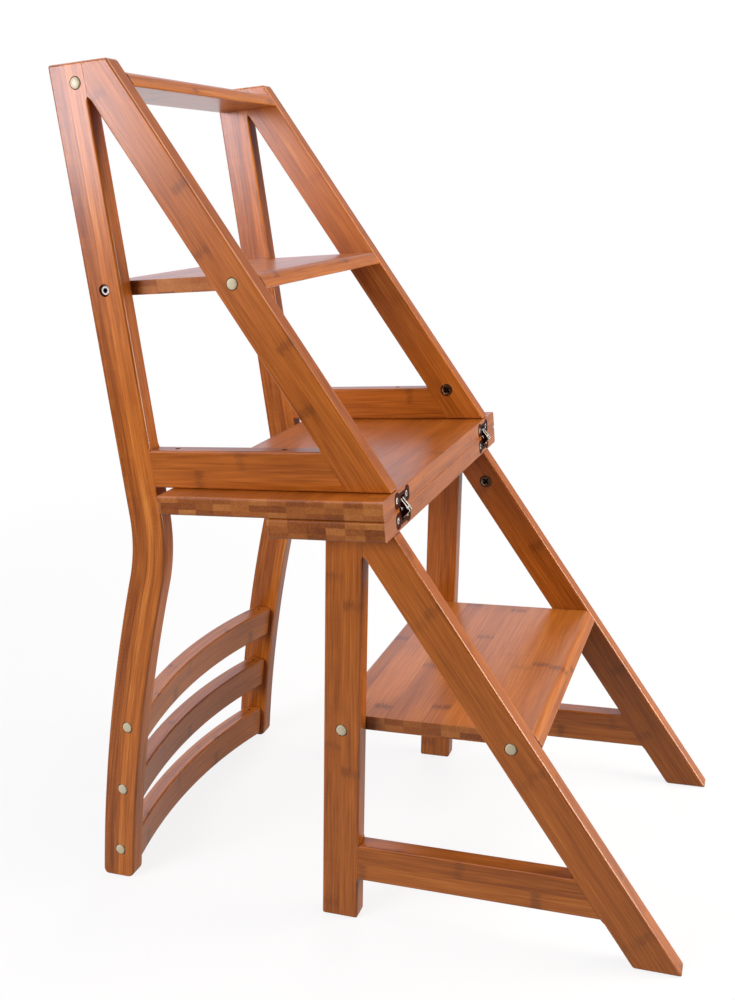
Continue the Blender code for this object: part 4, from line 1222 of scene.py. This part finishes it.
# %% [markdown]
# ## Floor
# A sheet of pale paper lies under the object. If it were simply lit until it is white, the
# object would be too bright. So the camera sees it glow white through Light Path, except close
# to the feet, where part of the paper shows and keeps their shadow. Diffuse light finds a mid
# grey, and what the lacquer mirrors grows brighter towards the back and the left.

# %% Pale floor
FLOOR_HALF, FLOOR_DROP = 6.0, 0.0006  # metres; the drop keeps it clear of the feet
corners = ((-1, -1), (1, -1), (1, 1), (-1, 1))
points = [(x * FLOOR_HALF, y * FLOOR_HALF, -FLOOR_DROP) for x, y in corners]
floor_mesh = bpy.data.meshes.new("floor")
floor_mesh.from_pydata(points, [], [(0, 1, 2, 3)])
floor = bpy.data.objects.new("floor", floor_mesh)
bpy.context.scene.collection.objects.link(floor)

# Matt paper: no highlight of its own, so the object's shadow is all that shows on it. Each
# range is in metres from the middle, then how much it glows: to the camera by distance, to
# mirrored rays by x on the far side and by y from front to back.
paper, tree, shader = material("pale_studio_floor")
rays = add(tree, "LightPath").node.outputs
mirror = add(tree, "Math", "MAXIMUM", rays["Is Glossy Ray"], rays["Is Transmission Ray"])
spot = add(tree, "TexCoord", out="Object")
sideways, depth, _ = add(tree, "SeparateXYZ", None, spot).node.outputs
away = add(tree, "VectorMath", "LENGTH", spot, out="Value")
seen = add(tree, "MapRange", SMOOTH, away, 0.7, 2.2, 0.84, 1.0)
sheen = add(tree, "MapRange", SMOOTH, sideways, 0.6, -0.6, 0.35, 1.0)
front = add(tree, "MapRange", SMOOTH, depth, -1.2, -0.4, 0.05, 0.35)
mirrored = add(tree, "MapRange", SMOOTH, depth, 0.1, 1.4, front, sheen)
to_camera = add(tree, "Math", "MULTIPLY", rays["Is Camera Ray"], seen)
white = add(tree, "Math", "MAXIMUM", to_camera, add(tree, "Math", "MULTIPLY", mirror, mirrored))
colour = add(tree, "Mix", COLOURS, rays["Is Camera Ray"], i6=linear("#75726f"), i7=linear("#f6f5f4"), out=2)
feed(shader, Base_Color=colour, Roughness=0.9, Specular_IOR_Level=0.1)
glow = add(tree, "Emission", Color=linear("#ffffff"), Strength=1.0)
feed(tree.nodes["Material Output"], Surface=add(tree, "MixShader", None, white, shader.outputs[0], glow))
floor_mesh.materials.append(paper)
print("floor", 2 * FLOOR_HALF, "m wide")

# %% [markdown]
# ## Surround
# The camera sees a white world, and the object gets only a dim one, which fills its shadows
# without washing out its browns. Lacquer is a weak mirror, so what it mirrors matters: the
# world is brighter behind the object and, for mirrored rays, on the left and high up on the
# left, which gives the lacquer its pale sheen.

# %% White surround
FRONT_GLOW, BACK_GLOW, HIGH_GLOW = 0.07, 0.36, 2.0  # the world's strengths
world = bpy.data.worlds.new("white_surround")
bpy.context.scene.world = world
world.use_nodes = True
tree = world.node_tree
rays = add(tree, "LightPath").node.outputs
mirror = add(tree, "Math", "MAXIMUM", rays["Is Glossy Ray"], rays["Is Transmission Ray"])
sideways, depth, rise = add(tree, "SeparateXYZ", None, add(tree, "TexCoord", out="Generated")).node.outputs
# Each range reads a part of the ray's direction, from -1 to 1: x to the right, y back or z up
sheen = add(tree, "MapRange", SMOOTH, sideways, 0.2, -0.3, -0.06, 0.5)
back = add(tree, "Math", "MULTIPLY_ADD", mirror, sheen, BACK_GLOW)
behind = add(tree, "MapRange", SMOOTH, depth, -0.2, 0.5, FRONT_GLOW, back)
high = add(tree, "MapRange", SMOOTH, rise, 0.45, 0.8, 0.0, add(tree, "Math", "MULTIPLY", mirror, HIGH_GLOW))
left = add(tree, "MapRange", SMOOTH, sideways, 0.2, -0.2)
unseen = add(tree, "Math", "MULTIPLY_ADD", high, left, behind)
strength = add(tree, "Math", "MAXIMUM", rays["Is Camera Ray"], unseen)
tint = add(tree, "Mix", COLOURS, rays["Is Camera Ray"], i6=linear("#f4f0ff"), i7=linear("#ffffff"), out=2)
feed(tree.nodes["Background"], Color=tint, Strength=strength)
print("surround", FRONT_GLOW, "in front to", BACK_GLOW, "behind")

# %% [markdown]
# ## Lamps
# Large lamps make soft shadows, and a single one would leave the inner faces black. The main
# light comes from the left in front, with softer ones from the right, the top and the back.
# The two that would mirror as bright patches in the lacquer are hidden from glossy rays. A
# small panel adds a narrow wash of light to the upper left: its spread is cut down, as a grid
# does to a softbox in a studio.

# %% Softboxes
MIDDLE, FULL = (0, 0, 0.45), 180  # the object's middle, and a lamp that isn't narrowed
# Place, aim and size in metres, watts, spread in degrees, colour, and whether gloss mirrors it
LAMPS = {
    "left_softbox": ((-1.25, -1.65, 0.95), MIDDLE, 1.2, 47.0, FULL, "#faf6fa", False),
    "left_gridded_panel": ((-1.41, -1.4, 1.25), (-0.65, -0.18, 1.1), 0.8, 1.25, 36, "#f6f3ff", True),
    "right_softbox": ((1.4, 0.3, 0.5), MIDDLE, 0.8, 22.5, FULL, "#fff6ee", True),
    "top_softbox": ((1.0, 0.0, 2.0), MIDDLE, 1.1, 22.0, FULL, "#fffaf6", True),
    "back_softbox": ((-0.4, 2.1, 0.9), MIDDLE, 1.2, 22.0, FULL, "#fffaf6", False),
}
for name, (place, aim, size, watts, spread, colour, in_gloss) in LAMPS.items():
    lamp = bpy.data.lights.new(name, "AREA")
    lamp.size, lamp.energy, lamp.color = size, watts, linear(colour)[:3]
    lamp.spread = math.radians(spread)
    holder = bpy.data.objects.new(name, lamp)
    bpy.context.scene.collection.objects.link(holder)
    holder.location, holder.visible_glossy = place, in_gloss
    holder.rotation_euler = (Vector(aim) - Vector(place)).to_track_quat("-Z", "Y").to_euler()
print(len(LAMPS), "lamps")

# %% [markdown]
# ## Camera
# The camera could be moved by hand until the picture looks right. Here its place, its turn and
# its focal length come from a fit of the board edges to the photograph, so that every joint
# lands where it should. The fit puts the optical centre above the picture's middle, as in a
# cropped photograph, and the lens is shifted by that much.

# %% Camera
SENSOR = 36.0  # mm
PHOTO_HIGH, FOCAL_LENGTH, CENTRE_ROW = 1000.0, 1062.15, 419.26  # pixels
AZIMUTH, PITCH, ROLL = 0.3765, -0.1956, -0.0772  # radians
FROM_SEAM = (342.374, -1097.775)  # mm from the seam's front edge, along x and y
CAMERA_HIGH = 738.587  # mm
ahead = np.array([-math.sin(AZIMUTH) * math.cos(PITCH), math.cos(AZIMUTH) * math.cos(PITCH), math.sin(PITCH)])
right = np.cross(ahead, (0, 0, 1))
right /= np.linalg.norm(right)
up = np.cross(right, ahead)
right, up = math.cos(ROLL) * right + math.sin(ROLL) * up, math.cos(ROLL) * up - math.sin(ROLL) * right
place = np.array([FROM_SEAM[0] + SEAM_X, FROM_SEAM[1], CAMERA_HIGH]) * MM
pose = np.eye(4)
pose[:3] = np.column_stack([right, up, -ahead, place])
camera_data = bpy.data.cameras.new("camera")
camera_data.sensor_width, camera_data.lens = SENSOR, SENSOR * FOCAL_LENGTH / PHOTO_HIGH
camera_data.shift_y = (CENTRE_ROW - PHOTO_HIGH / 2) / PHOTO_HIGH
camera = bpy.data.objects.new("camera", camera_data)
bpy.context.scene.collection.objects.link(camera)
camera.matrix_world = Matrix(pose.tolist())
bpy.context.scene.camera = camera
bpy.context.scene.view_settings.view_transform = "Standard"
print("camera at", place.round(3))
